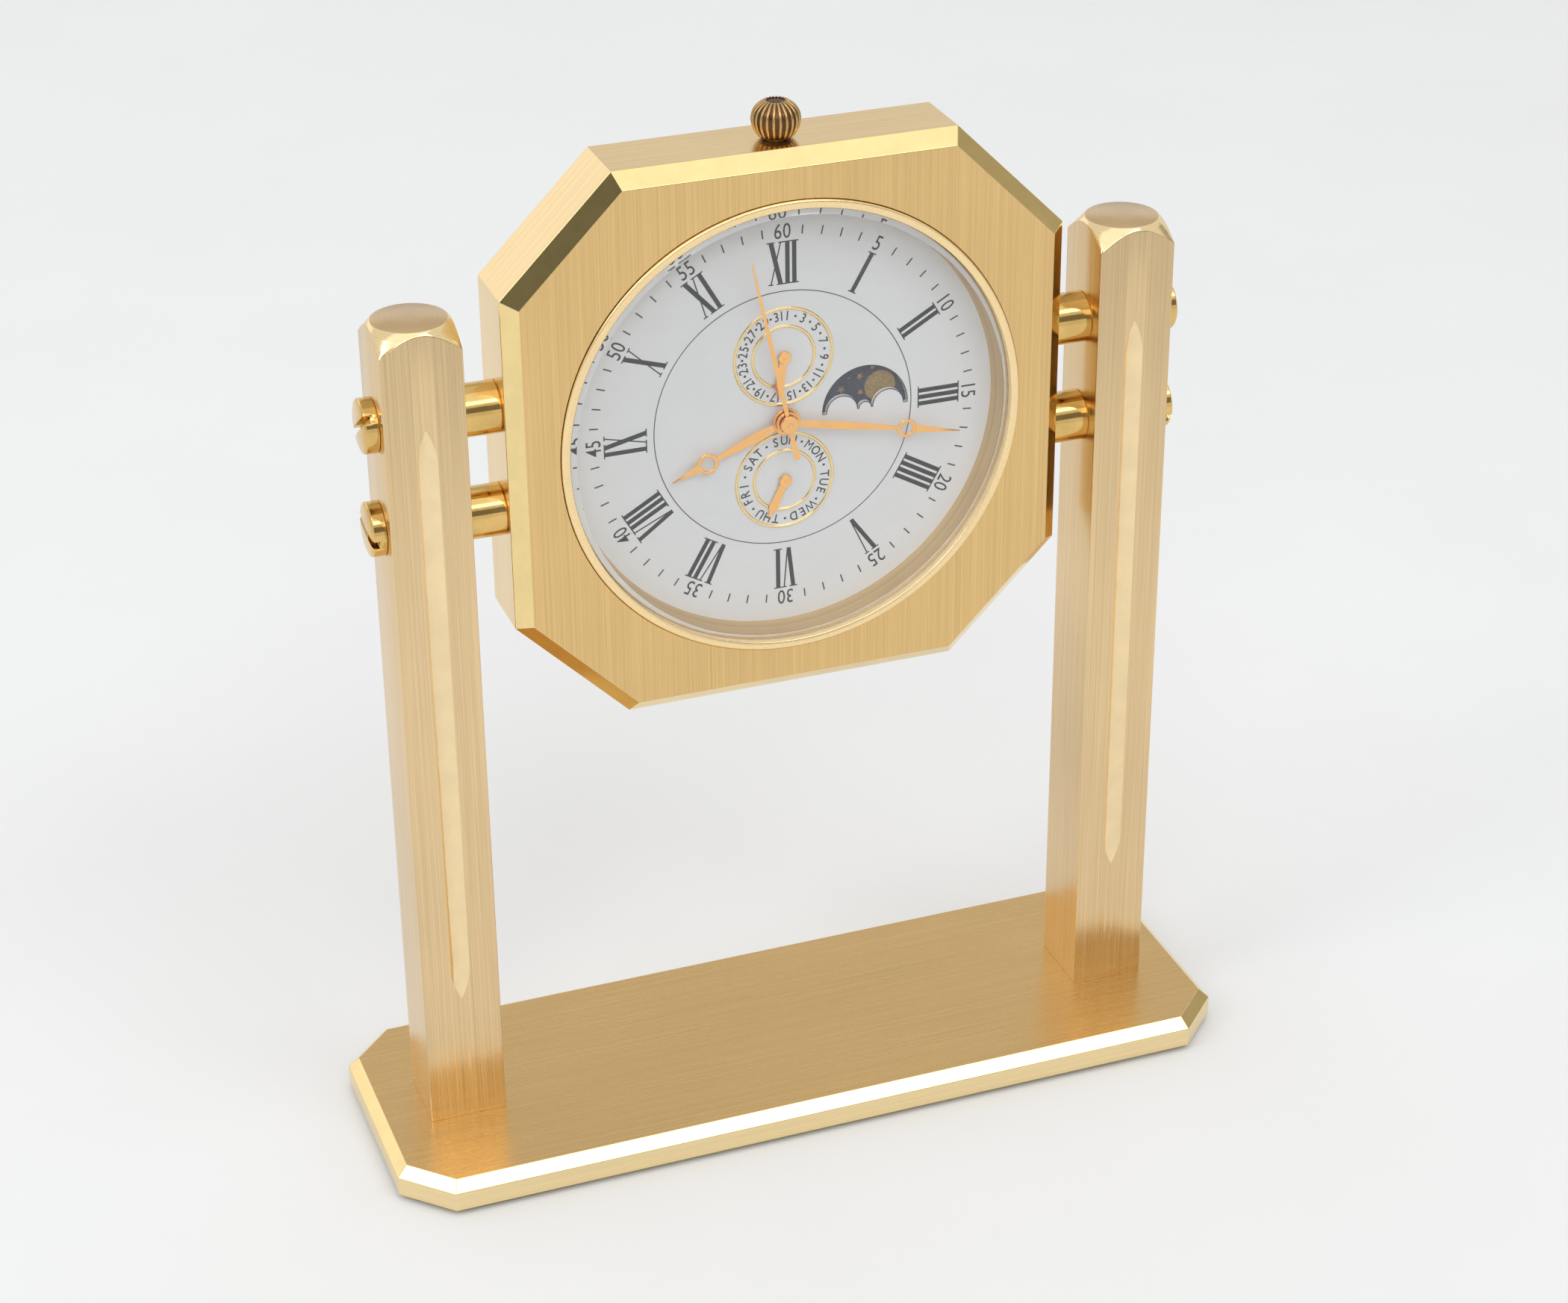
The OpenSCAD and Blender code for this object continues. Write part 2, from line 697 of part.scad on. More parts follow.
module circuit_board() {
    corners = [[2.6, -6.4], [3.2, -4.4], [9.4, -2.4], [12, -3.2], [10.4, -7], [7, -10.4], [2, -12.2],
        [-1.6, -12.2], [-1.8, -9.4], [0.4, -6.6]];
    color("seagreen") face([0, 0], plate_back - board_t) linear_extrude(board_t) polygon(corners);
}

module chip() {
    color("dimgray") face([5.2, -6.6], plate_back - board_t - 0.7) translate([-1.2, -1.2, 0])
        cube([2.4, 2.4, 0.7]);
}

module quartz_can() {
    can_r = 0.75;
    color("lightsteelblue") translate([1.2, can_r - (plate_back - board_t), case_z - 10.4]) rotate([0, 90, -0])
        cylinder(h = 5.2, r = can_r);
}

module button_cell() {
    step = 0.25;
    color("gainsboro") face(cell_p, cell_front - cell_t) rotate_extrude() polygon([[0, 0], [cell_r, 0],
        [cell_r, cell_t - step], [cell_r - 0.9, cell_t - step], [cell_r - 0.9, cell_t], [0, cell_t]]);
}

// spring strap that holds the cell, from the board across the cell's back
module cell_strap() {
    strap_t = 0.15;
    back = cell_front - cell_t;
    color("lightgray") union() {
        face([0, 0], back - strap_t) linear_extrude(strap_t)
            polygon([[-9.4, -3.6], [-9.4, -5.2], [-2.2, -10.6], [-0.8, -10.6], [-0.8, -9.6], [-7.4, -4.2]]);
        face([-1.4, -10.4], back - strap_t) translate([-0.4, -0.4, 0])
            cube([0.8, 0.8, plate_back - board_t - back + strap_t]);
    }
}

module coil() {
    core_mid = stator_front - stator_t - coil_core_t / 2;
    color("peru") translate([coil_p[0], -core_mid, case_z + coil_p[1]]) rotate([0, 90, 0]) difference() {
        cylinder(h = coil_l, r = coil_r, center = true);
        cube([coil_core_w + 2 * press_gap, coil_core_t + 2 * press_gap, coil_l + overcut], center = true);
    }
}

module coil_core() {
    color("gray") face(coil_p, stator_front - stator_t - coil_core_t)
        translate([-coil_core_l / 2, -coil_core_w / 2, 0]) cube([coil_core_l, coil_core_w, coil_core_t]);
}

module stator() {
    left = coil_p[0] - coil_core_l / 2;
    right = coil_p[0] + coil_core_l / 2;
    top = coil_p[1] + coil_core_w / 2;
    arm = 1.3;
    low = rotor_p[1] - arm;
    inner_low = coil_p[1] - coil_r - 0.5;
    color("lightslategray") difference() {
        face([0, 0], stator_front - stator_t) linear_extrude(stator_t)
            polygon([[left, top], [left, inner_low], [rotor_p[0] - arm, low], [rotor_p[0] + arm, low],
                [right, inner_low], [right, top], [right - arm, top], [right - arm, inner_low],
                [left + arm, inner_low], [left + arm, top]]);
        disc(rotor_p, stator_front - stator_t - overcut, stator_front + overcut, 0.9);
    }
}

// --------------------------------------------- running train and its hands

// a wheel with its pinion on one arbor; the arbor runs from height a to b and ends in pivots
module arbor(p, a, b) {
    disc(p, a, b, pivot_r);
    disc(p, a + bridge_t + 0.05, b - plate_t - 0.05, arbor_r);
}

// rod between two heights with a thinner pivot at its back end
module calendar_arbor(p, back, front) {
    disc(p, back + 0.05, front, calendar_arbor_r);
    disc(p, back - plate_t, back + 0.05, pivot_r);
}

module centre_wheel() {
    color("goldenrod") difference() {
        union() {
            gear_at([0, 0], centre_wheel_front, wheel_t, centre_teeth, tooth_m);
            gear_at([0, 0], minute_wheel_front + pinion_over, wheel_t + 2 * pinion_over, cannon_leaves,
                tooth_m);
            disc([0, 0], centre_wheel_front - wheel_t - 0.06, minute_wheel_front - wheel_t - pinion_over,
                cannon_r);
            disc([0, 0], minute_wheel_front + pinion_over, dial_front + minute_hand_lift + hand_t + 0.05,
                cannon_r);
        }
        disc([0, 0], centre_wheel_front - overcut, dial_front + seconds_hand_lift, cannon_bore_r);
    }
}

// a hand's blade through stations of [distance, width], pointing up
module blade(stations) {
    last = len(stations) - 1;
    right = [for (s = stations) [s[1] / 2, s[0]]];
    left = [for (i = [last:-1:0]) [-stations[i][1] / 2, stations[i][0]]];
    linear_extrude(hand_t) polygon(concat(right, left));
}

// a hand with a raised hub and an open ring, like the hour and minute hands; leaf has its three widths:
// at the hub, at the widest place and at the ring
module ring_hand(long, ring_at, ring_out, leaf, hub_r, bore) {
    difference() {
        union() {
            cylinder(h = hand_t + hub_rim, r = hub_r);
            blade([[0, leaf[0]], [ring_at * 0.36, leaf[1]], [ring_at, leaf[2]]]);
            translate([0, ring_at, 0]) cylinder(h = hand_t, r = ring_out);
            blade([[ring_at, leaf[2] * 2], [long, 0.16]]);
        }
        translate([0, ring_at, -overcut]) cylinder(h = hand_t + 2 * overcut, r = ring_out - hand_ring_w);
        translate([0, 0, -overcut]) cylinder(h = hand_t + hub_rim + 2 * overcut, r = bore);
    }
}

module minute_hand() {
    color("sandybrown") face([0, 0], dial_front + minute_hand_lift) rotate([0, 0, -minute_angle])
        ring_hand(minute_l, minute_ring_at, minute_ring_r, [0.6, 0.84, 0.46], 1.2, cannon_r + press_gap);
}

module seconds_wheel() {
    color("goldenrod") union() {
        gear_at([0, 0], third_wheel_front + pinion_over, wheel_t + 2 * pinion_over, seconds_leaves, third_m,
            mesh_phase(third_dir + 180, third_teeth, seconds_leaves, 0));
        gear_at([0, 0], seconds_wheel_front, wheel_t, seconds_teeth, tooth_m);
        disc([0, 0], bridge_front + 0.05, dial_front + seconds_hand_lift + 0.35, seconds_arbor_r);
        disc([0, 0], bridge_back, bridge_front + 0.05, pivot_r);
    }
}

module seconds_hand() {
    hub_r = 0.92;
    bore = seconds_arbor_r + press_gap;
    color("sandybrown") face([0, 0], dial_front + seconds_hand_lift) rotate([0, 0, -seconds_angle])
        difference() {
            union() {
                blade([[-0.1, 0.38], [seconds_l * 0.25, 0.46], [seconds_l, 0.18]]);
                blade([[-seconds_tail, 0.6], [0.1, 0.38]]);
                cylinder(h = 0.45, r = hub_r);
            }
            translate([0, 0, -overcut]) cylinder(h = 0.35 + overcut, r = bore);
        }
}

module third_wheel() {
    color("goldenrod") union() {
        gear_at(third_p, third_wheel_front, wheel_t, third_teeth, third_m);
        gear_at(third_p, centre_wheel_front + pinion_over, wheel_t + 2 * pinion_over, third_leaves, tooth_m,
            mesh_phase(third_dir, centre_teeth, third_leaves, 0));
        arbor(third_p, bridge_back, plate_front);
    }
}

module intermediate_wheel() {
    color("goldenrod") union() {
        gear_at(intermediate_p, intermediate_wheel_front, wheel_t, intermediate_teeth, rotor_m);
        gear_at(intermediate_p, seconds_wheel_front + pinion_over, wheel_t + 2 * pinion_over,
            intermediate_leaves, tooth_m,
            mesh_phase(intermediate_dir, seconds_teeth, intermediate_leaves, 0));
        arbor(intermediate_p, bridge_back, plate_front);
    }
}

module rotor() {
    magnet_r = 0.6;
    magnet_t = 0.5;
    color("dimgray") union() {
        gear_at(rotor_p, intermediate_wheel_front + pinion_over, wheel_t + 2 * pinion_over, rotor_leaves,
            rotor_m, mesh_phase(rotor_dir, intermediate_teeth, rotor_leaves, 0));
        disc(rotor_p, stator_front - stator_t / 2 - magnet_t / 2, stator_front - stator_t / 2 + magnet_t / 2,
            magnet_r);
        arbor(rotor_p, bridge_back, plate_front);
    }
}

module minute_wheel() {
    color("goldenrod") union() {
        gear_at(minute_p, minute_wheel_front, wheel_t, minute_teeth, tooth_m,
            mesh_phase(minute_dir, cannon_leaves, minute_teeth, 0));
        gear_at(minute_p, hour_wheel_front + pinion_over, hour_wheel_front - minute_wheel_front + wheel_t,
            minute_leaves, hour_m);
        disc(minute_p, plate_back, hour_wheel_front + pinion_over, pivot_r);
    }
}

module hour_wheel() {
    color("goldenrod") difference() {
        union() {
            gear_at([0, 0], hour_wheel_front, drive_t, hour_teeth, hour_m,
                mesh_phase(minute_dir + 180, minute_leaves, hour_teeth, 0));
            gear_at([0, 0], drive_front + 0.03, drive_t + 0.06, hour_leaves, tooth_m);
            disc([0, 0], hour_wheel_front - drive_t, dial_front + hour_hand_lift + hand_t + 0.05, hour_pipe_r);
        }
        disc([0, 0], hour_wheel_front - overcut, dial_front + minute_hand_lift, hour_pipe_bore_r);
    }
}

module hour_hand() {
    color("sandybrown") face([0, 0], dial_front + hour_hand_lift) rotate([0, 0, -hour_angle])
        ring_hand(hour_l, hour_ring_at, hour_ring_r, [0.7, 1, 0.46], 1.4, hour_pipe_r + press_gap);
}

// ----------------------------------------------------------- calendar work

// a wheel that turns once a day and carries a finger in a higher layer
module drive_wheel(p, dir, finger_front, finger_l, finger_dir) {
    color("goldenrod") union() {
        gear_at(p, drive_front, drive_t, drive_teeth, tooth_m, mesh_phase(dir, hour_leaves, drive_teeth, 0));
        calendar_arbor(p, plate_front, finger_front);
        face(p, finger_front - moon_t) rotate([0, 0, finger_dir]) translate([0, -finger_w / 2, 0])
            cube([finger_l, finger_w, moon_t]);
    }
}

module date_drive_wheel() {
    drive_wheel(date_drive_p, date_drive_dir, star_front,
        norm(date_p - date_drive_p) - star_r + finger_reach, 200);
}

module day_drive_wheel() {
    drive_wheel(day_drive_p, day_drive_dir, star_front,
        norm(day_p - day_drive_p) - star_r + finger_reach, 160);
}

module moon_drive_wheel() {
    drive_wheel(moon_drive_p, moon_drive_dir, moon_front,
        norm(moon_p - moon_drive_p) - moon_disc_r + finger_reach, 130);
}

// a star wheel of pointed teeth on its arbor
module star(p, teeth) {
    pitch = 360 / teeth;
    valley = star_r - min(0.5, star_r * 3.14 / teeth);
    color("goldenrod") union() {
        face(p, star_front - star_t) linear_extrude(star_t) polygon([for (i = [0:teeth - 1], k = [0, 1])
            polar(k == 0 ? star_r : valley, (i + k / 2) * pitch)]);
        calendar_arbor(p, plate_front, dial_front + small_hand_lift + hand_t + 0.1);
    }
}

module date_star() { star(date_p, date_teeth); }

module day_star() { star(day_p, day_teeth); }

module small_hand(angle) {
    hub_r = 0.65;
    rotate([0, 0, -angle]) difference() {
        union() {
            blade([[0, 0.4], [small_hand_l * 0.72, 0.7], [small_hand_l, 0.12]]);
            cylinder(h = hand_t + 0.2, r = hub_r);
        }
        translate([0, 0, -overcut]) cylinder(h = hand_t + 0.1 + overcut, r = calendar_arbor_r + press_gap);
    }
}

module date_hand() {
    color("sandybrown") face(date_p, dial_front + small_hand_lift) small_hand(date_angle);
}

module day_hand() {
    color("sandybrown") face(day_p, dial_front + small_hand_lift) small_hand(day_angle);
}

module moon_disc() {
    m = 2 * moon_disc_r / (moon_teeth + 1.8);
    color("slateblue") union() {
        face(moon_p, moon_front - moon_t) gear(moon_teeth, m, moon_t);
        disc(moon_p, plate_front + 0.05, moon_front, calendar_arbor_r);
        disc(moon_p, plate_back, plate_front + 0.05, pivot_r);
    }
}

// ------------------------------------------------------------ crown and stem

module crown_tube() {
    long = case_h / 2 - bore_r + tube_proud;
    color("goldenrod") translate([0, 0, case_z + bore_r + 0.3]) difference() {
        cylinder(h = long - 0.3, r = tube_r);
        translate([0, 0, -overcut]) cylinder(h = long + 2 * overcut, r = stem_r + running_gap);
    }
}

module sliding_pinion() {
    hole = stem_square + 2 * pivot_gap;
    color("silver") translate([0, 0, case_z + pinion_at]) difference() {
        gear(pinion_teeth, 2 * pinion_r / (pinion_teeth + 1.8), pinion_l);
        translate([-hole / 2, -hole / 2, -overcut]) cube([hole, hole, pinion_l + 2 * overcut]);
    }
}

module winding_stem() {
    top = case_z + case_h / 2 + crown_gap + 0.6;
    color("silver") union() {
        translate([-stem_square / 2, -stem_square / 2, case_z + stem_end])
            cube([stem_square, stem_square, stem_square_end + 0.5 - stem_end]);
        translate([0, 0, case_z + stem_square_end + 0.4])
            cylinder(h = top - case_z - stem_square_end - 0.4, r = stem_r);
    }
}

// radius of the crown's barrel at the share v of its height
function barrel(v) = let (end_r = v < 0.5 ? crown_foot_r : crown_top_r)
    crown_r * sqrt(1 - (1 - pow(end_r / crown_r, 2)) * pow(2 * v - 1, 2));

module crown() {
    rings = 10;
    sides = 4 * crown_ribs;
    rib = 0.09;
    // each station: height, radius, depth of the grooves between the ribs
    stations = concat([[0, crown_neck_r, 0], [crown_neck_h, crown_neck_r, 0]], [for (i = [0:rings])
        [crown_neck_h + (crown_h - crown_neck_h) * i / rings, barrel(i / rings), rib]]);
    last = len(stations) - 1;
    points = [for (s = stations, k = [0:sides - 1]) let (r = s[1] * (1 - s[2] * [0, 0.6, 1, 0.6][k % 4]))
        [r * cos(360 * k / sides), r * sin(360 * k / sides), s[0]]];
    side = [for (i = [0:last - 1], k = [0:sides - 1], t = [0, 1])
        let (a = i * sides + k, b = i * sides + (k + 1) % sides)
        t == 0 ? [a, a + sides, b + sides] : [a, b + sides, b]];
    caps = [[for (k = [0:sides - 1]) k], [for (k = [sides - 1:-1:0]) last * sides + k]];
    color("peru") translate([0, 0, case_z + case_h / 2 + crown_gap]) difference() {
        polyhedron(points, concat(side, caps));
        translate([0, 0, -overcut]) cylinder(h = overcut + 0.6, r = stem_r + press_gap);
    }
}

base_plate();
felt_pad();
left_post();
right_post();
base_screws();
left_spacers();
right_spacers();
left_case_screws();
right_case_screws();
case_body();
bezel_ring();
crystal();
crystal_gasket();
slope_ring();
dial();
calendar_rings();
movement_holder();
main_plate();
calendar_bridge();
train_bridge();
movement_screws();
circuit_board();
chip();
quartz_can();
button_cell();
cell_strap();
coil();
coil_core();
stator();
case_back();
case_back_screws();
crown_tube();
minute_hand();
centre_wheel();
seconds_hand();
seconds_wheel();
third_wheel();
intermediate_wheel();
rotor();
minute_wheel();
hour_hand();
hour_wheel();
date_drive_wheel();
day_drive_wheel();
moon_drive_wheel();
date_hand();
date_star();
day_hand();
day_star();
moon_disc();
sliding_pinion();
winding_stem();
crown();
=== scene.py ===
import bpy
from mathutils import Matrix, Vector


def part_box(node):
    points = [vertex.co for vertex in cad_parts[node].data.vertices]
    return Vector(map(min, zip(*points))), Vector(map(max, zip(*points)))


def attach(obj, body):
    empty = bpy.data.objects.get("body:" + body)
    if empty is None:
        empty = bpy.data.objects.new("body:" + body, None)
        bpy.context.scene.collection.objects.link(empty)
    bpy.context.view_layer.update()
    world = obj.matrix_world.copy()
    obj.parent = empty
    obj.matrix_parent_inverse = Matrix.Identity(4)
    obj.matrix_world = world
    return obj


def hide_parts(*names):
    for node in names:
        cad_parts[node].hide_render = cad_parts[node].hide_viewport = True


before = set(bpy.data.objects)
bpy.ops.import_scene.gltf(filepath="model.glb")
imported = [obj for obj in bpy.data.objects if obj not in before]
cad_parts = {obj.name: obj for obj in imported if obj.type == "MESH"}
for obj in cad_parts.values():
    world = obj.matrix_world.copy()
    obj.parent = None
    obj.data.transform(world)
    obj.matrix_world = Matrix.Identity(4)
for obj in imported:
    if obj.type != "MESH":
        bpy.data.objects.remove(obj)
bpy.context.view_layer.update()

import math
import bmesh
import bpy
from mathutils import Matrix, Vector

MM = 0.001

# ---- sizes, mm

case_low, case_high = [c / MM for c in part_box("case_body")]
base_low, base_high = [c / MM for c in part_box("base_plate")]
post_low, post_high = [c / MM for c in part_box("right_post")]
ring_low, ring_high = [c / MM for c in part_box("bezel_ring")]
glass_low, glass_high = [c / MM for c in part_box("crystal")]
slope_low, slope_high = [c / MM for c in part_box("slope_ring")]
dial_low, dial_high = [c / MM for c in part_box("dial")]
crown_low, crown_high = [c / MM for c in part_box("crown")]
cover_low, cover_high = [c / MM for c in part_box("case_back")]

CASE_W = case_high.x - case_low.x
CASE_H = case_high.z - case_low.z
CASE_FRONT = -case_low.y
CASE_Z = (case_low.z + case_high.z) / 2
CASE_CUT = 11.3
CASE_BEVEL = 1.5
BACK_BEVEL = 0.4
LIP_R = 22.5
SEAT_GAP = 0.05
RING_SEAT_R = ring_high.x + SEAT_GAP
BORE_R = dial_high.x + SEAT_GAP
COVER_SEAT_R = cover_high.x + SEAT_GAP
LIP_FRONT = -ring_high.y
SLOPE_FRONT = -slope_low.y
DIAL_FRONT = -dial_low.y
COVER_FRONT = -cover_low.y

BASE_L = base_high.x - base_low.x
BASE_D = base_high.y - base_low.y
BASE_CUT = 4.8
BASE_BEVEL = 1.1

POST_W = post_high.x - post_low.x
POST_X = (post_low.x + post_high.x) / 2
POST_TOP_R = 3.7
POST_CONE = 1.12
FLUTE_W = 2.0
FLUTE_DEPTH = 0.4
FLUTE_LOW = base_high.z + 14.55
FLUTE_HIGH = post_high.z - 9.85
FLUTE_POINT = 3.8

SPACER_R = 2.6
SPACER_BORE_R = 1.55
SPACER_DZ = 5.4
SCREW_R = 2.7
SCREW_T = 1.6
SHANK_R = 1.5
SHANK_L = 15
SLOT_W = 0.8
SLOT_DEPTH = 0.8

# the dial: small dials above and below its middle, the moon window on its right
SUB_OFFSET = 6.6
SUB_RING_RADII = (5.22, 3.36)
SUB_RING_W = 0.34
DATE_R = 4.27
DAY_R = 4.25
MOON = (8.55, -0.2)
INK = 0.01

# where the hands point in the photo, clockwise from twelve
HOUR_ANGLE, MINUTE_ANGLE, SECONDS_ANGLE = 248.5, 101.8, 348.1
DATE_ANGLE, DAY_ANGLE = 189.5, 204.8

# segments of round pieces, and how close two points are the same
ROUND = 96
WIDE_ROUND = 240
SAME = 1e-7

# ---- mesh helpers


def smooth(mesh, angle):
    mesh.shade_smooth()
    mesh.set_sharp_from_angle(angle=math.radians(angle))


def make_object(name, bm, materials, smooth_angle=None):
    mesh = bpy.data.meshes.new(name)
    bm.to_mesh(mesh)
    bm.free()
    obj = bpy.data.objects.new(name, mesh)
    bpy.context.scene.collection.objects.link(obj)
    for material in materials:
        mesh.materials.append(material)
    if smooth_angle is not None:
        smooth(mesh, smooth_angle)
    return obj


def settle(obj, body, slot, *replaced):
    """Attaches a finished piece to its body's empty and hides the parts it replaces."""
    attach(obj, body)
    if replaced:
        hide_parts(*replaced)


def baked(obj):
    """The object with its modifiers turned into plain mesh."""
    bpy.context.view_layer.update()
    graph = bpy.context.evaluated_depsgraph_get()
    mesh = bpy.data.meshes.new_from_object(obj.evaluated_get(graph), depsgraph=graph)
    obj.modifiers.clear()
    obj.data = mesh
    return obj


def soften(obj, width, angle=28, segments=2, harden=True):
    """Rounds the sharp edges a little, as a real machined edge is."""
    bevel = obj.modifiers.new("edges", "BEVEL")
    bevel.width = width * MM
    bevel.segments = segments
    bevel.limit_method = "ANGLE"
    bevel.angle_limit = math.radians(angle)
    bevel.harden_normals = harden
    return baked(obj)


def bridge(bm, low, high, material=0):
    """Quads between two closed loops of the same length."""
    for i in range(len(low)):
        j = (i + 1) % len(low)
        bm.faces.new((low[i], low[j], high[j], high[i])).material_index = material


def loop(bm, points):
    return [bm.verts.new(Vector(p) * MM) for p in points]


def mend_normals(bm):
    bmesh.ops.remove_doubles(bm, verts=bm.verts, dist=SAME)
    bmesh.ops.recalc_face_normals(bm, faces=bm.faces)


def face_matrix(x=0.0, y=0.0, front=0.0, turn=0.0):
    """Puts a flat drawing (x right, y up, z towards the viewer, mm) on the case's front.

    x and y are measured from the dial's middle, front from the case's mid-plane; turn is clockwise.
    """
    place = Matrix.Translation(Vector((x, -front, CASE_Z + y)) * MM)
    stand = Matrix(((1, 0, 0, 0), (0, 0, -1, 0), (0, 1, 0, 0), (0, 0, 0, 1)))
    return place @ stand @ Matrix.Rotation(math.radians(-turn), 4, "Z") @ Matrix.Scale(MM, 4)


def side_matrix(side, x, z):
    """Puts a turned piece on the clock's side, its z axis outwards; side is -1 or 1."""
    return (Matrix.Translation(Vector((side * x, 0, z)) * MM)
            @ Matrix.Rotation(math.radians(side * 90), 4, "Y") @ Matrix.Scale(MM, 4))


def round_outline(x, y, radius, segments):
    """Points of a circle."""
    return [(x + radius * math.cos(math.tau * k / segments), y + radius * math.sin(math.tau * k / segments))
            for k in range(segments)]


def add_lathe(bm, profile, matrix, segments=ROUND, closed=False):
    """Turns a profile of (radius, height) round the drawing's z axis."""
    rings = []
    for radius, height in profile:
        outline = round_outline(0, 0, radius, segments) if radius > 0 else [(0, 0)]
        rings.append([bm.verts.new(matrix @ Vector((x, y, height))) for x, y in outline])
    pairs = list(zip(rings, rings[1:]))
    if closed:
        pairs.append((rings[-1], rings[0]))
    for low, high in pairs:
        for k in range(segments):
            n = (k + 1) % segments
            corners = [low[k % len(low)], low[n % len(low)], high[n % len(high)], high[k % len(high)]]
            corners = list(dict.fromkeys(corners))
            if len(corners) > 2:
                bm.faces.new(corners)


def add_prism(bm, outline, low, high, matrix):
    """A flat outline in the drawing, given thickness."""
    bottom = [bm.verts.new(matrix @ Vector((x, y, low))) for x, y in outline]
    top = [bm.verts.new(matrix @ Vector((x, y, high))) for x, y in outline]
    bm.faces.new(top)
    bm.faces.new(bottom[::-1])
    bridge(bm, bottom, top)


def finish_wall(bm, radius):
    """Gives the round wall at this radius round the dial's axis the second finish."""
    near = 0.01
    for face in bm.faces:
        if all(abs(math.hypot(v.co.x, v.co.z - CASE_Z * MM) - radius * MM) < near * MM for v in face.verts):
            face.material_index = 1


def cut_away(obj, cutter, transfer=False):
    """Takes the cutter out of the object; with transfer the cut takes the cutter's finish."""
    cut = obj.modifiers.new("cut", "BOOLEAN")
    cut.operation = "DIFFERENCE"
    cut.solver = "EXACT"
    if transfer:
        cut.material_mode = "TRANSFER"
    cut.object = cutter
    baked(obj)
    bpy.data.objects.remove(cutter)


def octagon(width, depth, cut, inset=0.0):
    """Corners of a plate with 45 degree cuts, moved inwards by inset."""
    w, d = width / 2 - inset, depth / 2 - inset
    c = cut - inset * (2 - math.sqrt(2))
    half = [(w, c - d), (w, d - c), (w - c, d), (c - w, d)]
    return half + [(-x, -y) for x, y in half]


def along_edges(corners, share):
    """Points along an outline, share of them on each edge."""
    points = []
    for i, start in enumerate(corners):
        end = corners[(i + 1) % len(corners)]
        for k in range(share):
            t = k / share
            points.append((start[0] + (end[0] - start[0]) * t, start[1] + (end[1] - start[1]) * t))
    return points


# ---- materials


class Shader:
    """A node material under construction."""

    def __init__(self, name, color, rough, metal=0.0):
        self.material = bpy.data.materials.new(name)
        self.material.use_nodes = True
        self.tree = self.material.node_tree
        self.shader = self.tree.nodes["Principled BSDF"]
        self.set("Base Color", (*color, 1.0))
        self.set("Roughness", rough)
        self.set("Metallic", metal)
        self.coordinates = self.add("ShaderNodeTexCoord").outputs["Object"]

    def add(self, kind, **settings):
        node = self.tree.nodes.new(kind)
        for key, value in settings.items():
            setattr(node, key, value)
        return node

    def link(self, source, target):
        self.tree.links.new(source, target)

    def set(self, socket, value):
        self.shader.inputs[socket].default_value = value

    def noise(self, scale, detail=3.0, rough=0.55, shift=(0, 0, 0), vector=None):
        """Noise, stretched by three scales given per mm."""
        mapping = self.add("ShaderNodeMapping")
        mapping.inputs["Scale"].default_value = [s / MM for s in scale]
        mapping.inputs["Location"].default_value = shift
        self.link(vector or self.coordinates, mapping.inputs["Vector"])
        noise = self.add("ShaderNodeTexNoise")
        noise.inputs["Scale"].default_value = 1.0
        noise.inputs["Detail"].default_value = detail
        noise.inputs["Roughness"].default_value = rough
        self.link(mapping.outputs["Vector"], noise.inputs["Vector"])
        return noise.outputs["Fac"]

    def spread(self, value, low, high, new_low, new_high):
        """Maps the range low to high onto the new one."""
        node = self.add("ShaderNodeMapRange")
        for i, v in enumerate((low, high, new_low, new_high)):
            node.inputs[i + 1].default_value = v
        self.link(value, node.inputs[0])
        return node.outputs[0]

    def math(self, operation, *values):
        node = self.add("ShaderNodeMath", operation=operation)
        for socket, value in zip(node.inputs, values):
            if isinstance(value, (int, float)):
                socket.default_value = value
            else:
                self.link(value, socket)
        return node.outputs[0]

    def vary(self, value, color, darker, lighter, low=0.35, high=0.65):
        """The base colour runs from darker to lighter as the value runs from low to high."""
        node = self.add("ShaderNodeMix", data_type="RGBA")
        for socket, factor in ((node.inputs[6], 1 - darker), (node.inputs[7], 1 + lighter)):
            socket.default_value = [c * factor for c in color] + [1.0]
        self.link(self.spread(value, low, high, 0, 1), node.inputs[0])
        self.link(node.outputs[2], self.shader.inputs["Base Color"])

    def roughen(self, value, low, high, smooth, rough):
        """The roughness runs from smooth to rough as the value runs from low to high."""
        self.link(self.spread(value, low, high, smooth, rough), self.shader.inputs["Roughness"])

    def blend(self, first, second, share):
        """The two values added, the second with this share."""
        return self.math("ADD", self.math("MULTIPLY", first, 1 - share), self.math("MULTIPLY", second, share))

    def bump(self, height, strength, distance):
        """Relief; distance in mm."""
        node = self.add("ShaderNodeBump")
        node.inputs["Strength"].default_value = strength
        node.inputs["Distance"].default_value = distance * MM
        self.link(height, node.inputs["Height"])
        self.link(node.outputs["Normal"], self.shader.inputs["Normal"])


def brushed(name, color, across, rough=0.22, strength=0.3, contrast=0.16, along=0.04):
    """Brushed metal; across names the axes in which the lines lie close together."""
    fine_pitch, broad_pitch, broad_along = 16.0, 7.0, along * 0.6
    relief = 0.012
    s = Shader(name, color, rough, 1.0)
    fine = s.noise([fine_pitch if axis in across else along for axis in "xyz"], 3.0, 0.7)
    broad = s.noise([broad_pitch if axis in across else broad_along for axis in "xyz"], 3.0, 0.7,
                    (3.1, 1.7, 5.3))
    cloud = s.noise((0.05, 0.05, 0.05), 2.0, 0.5)
    tone = s.blend(s.blend(fine, broad, 0.5), cloud, 0.15)
    s.vary(tone, color, contrast, contrast * 0.6, 0.38, 0.62)
    s.roughen(fine, 0.3, 0.7, rough - 0.06, rough + 0.08)
    s.bump(fine, strength, relief)
    return s.material


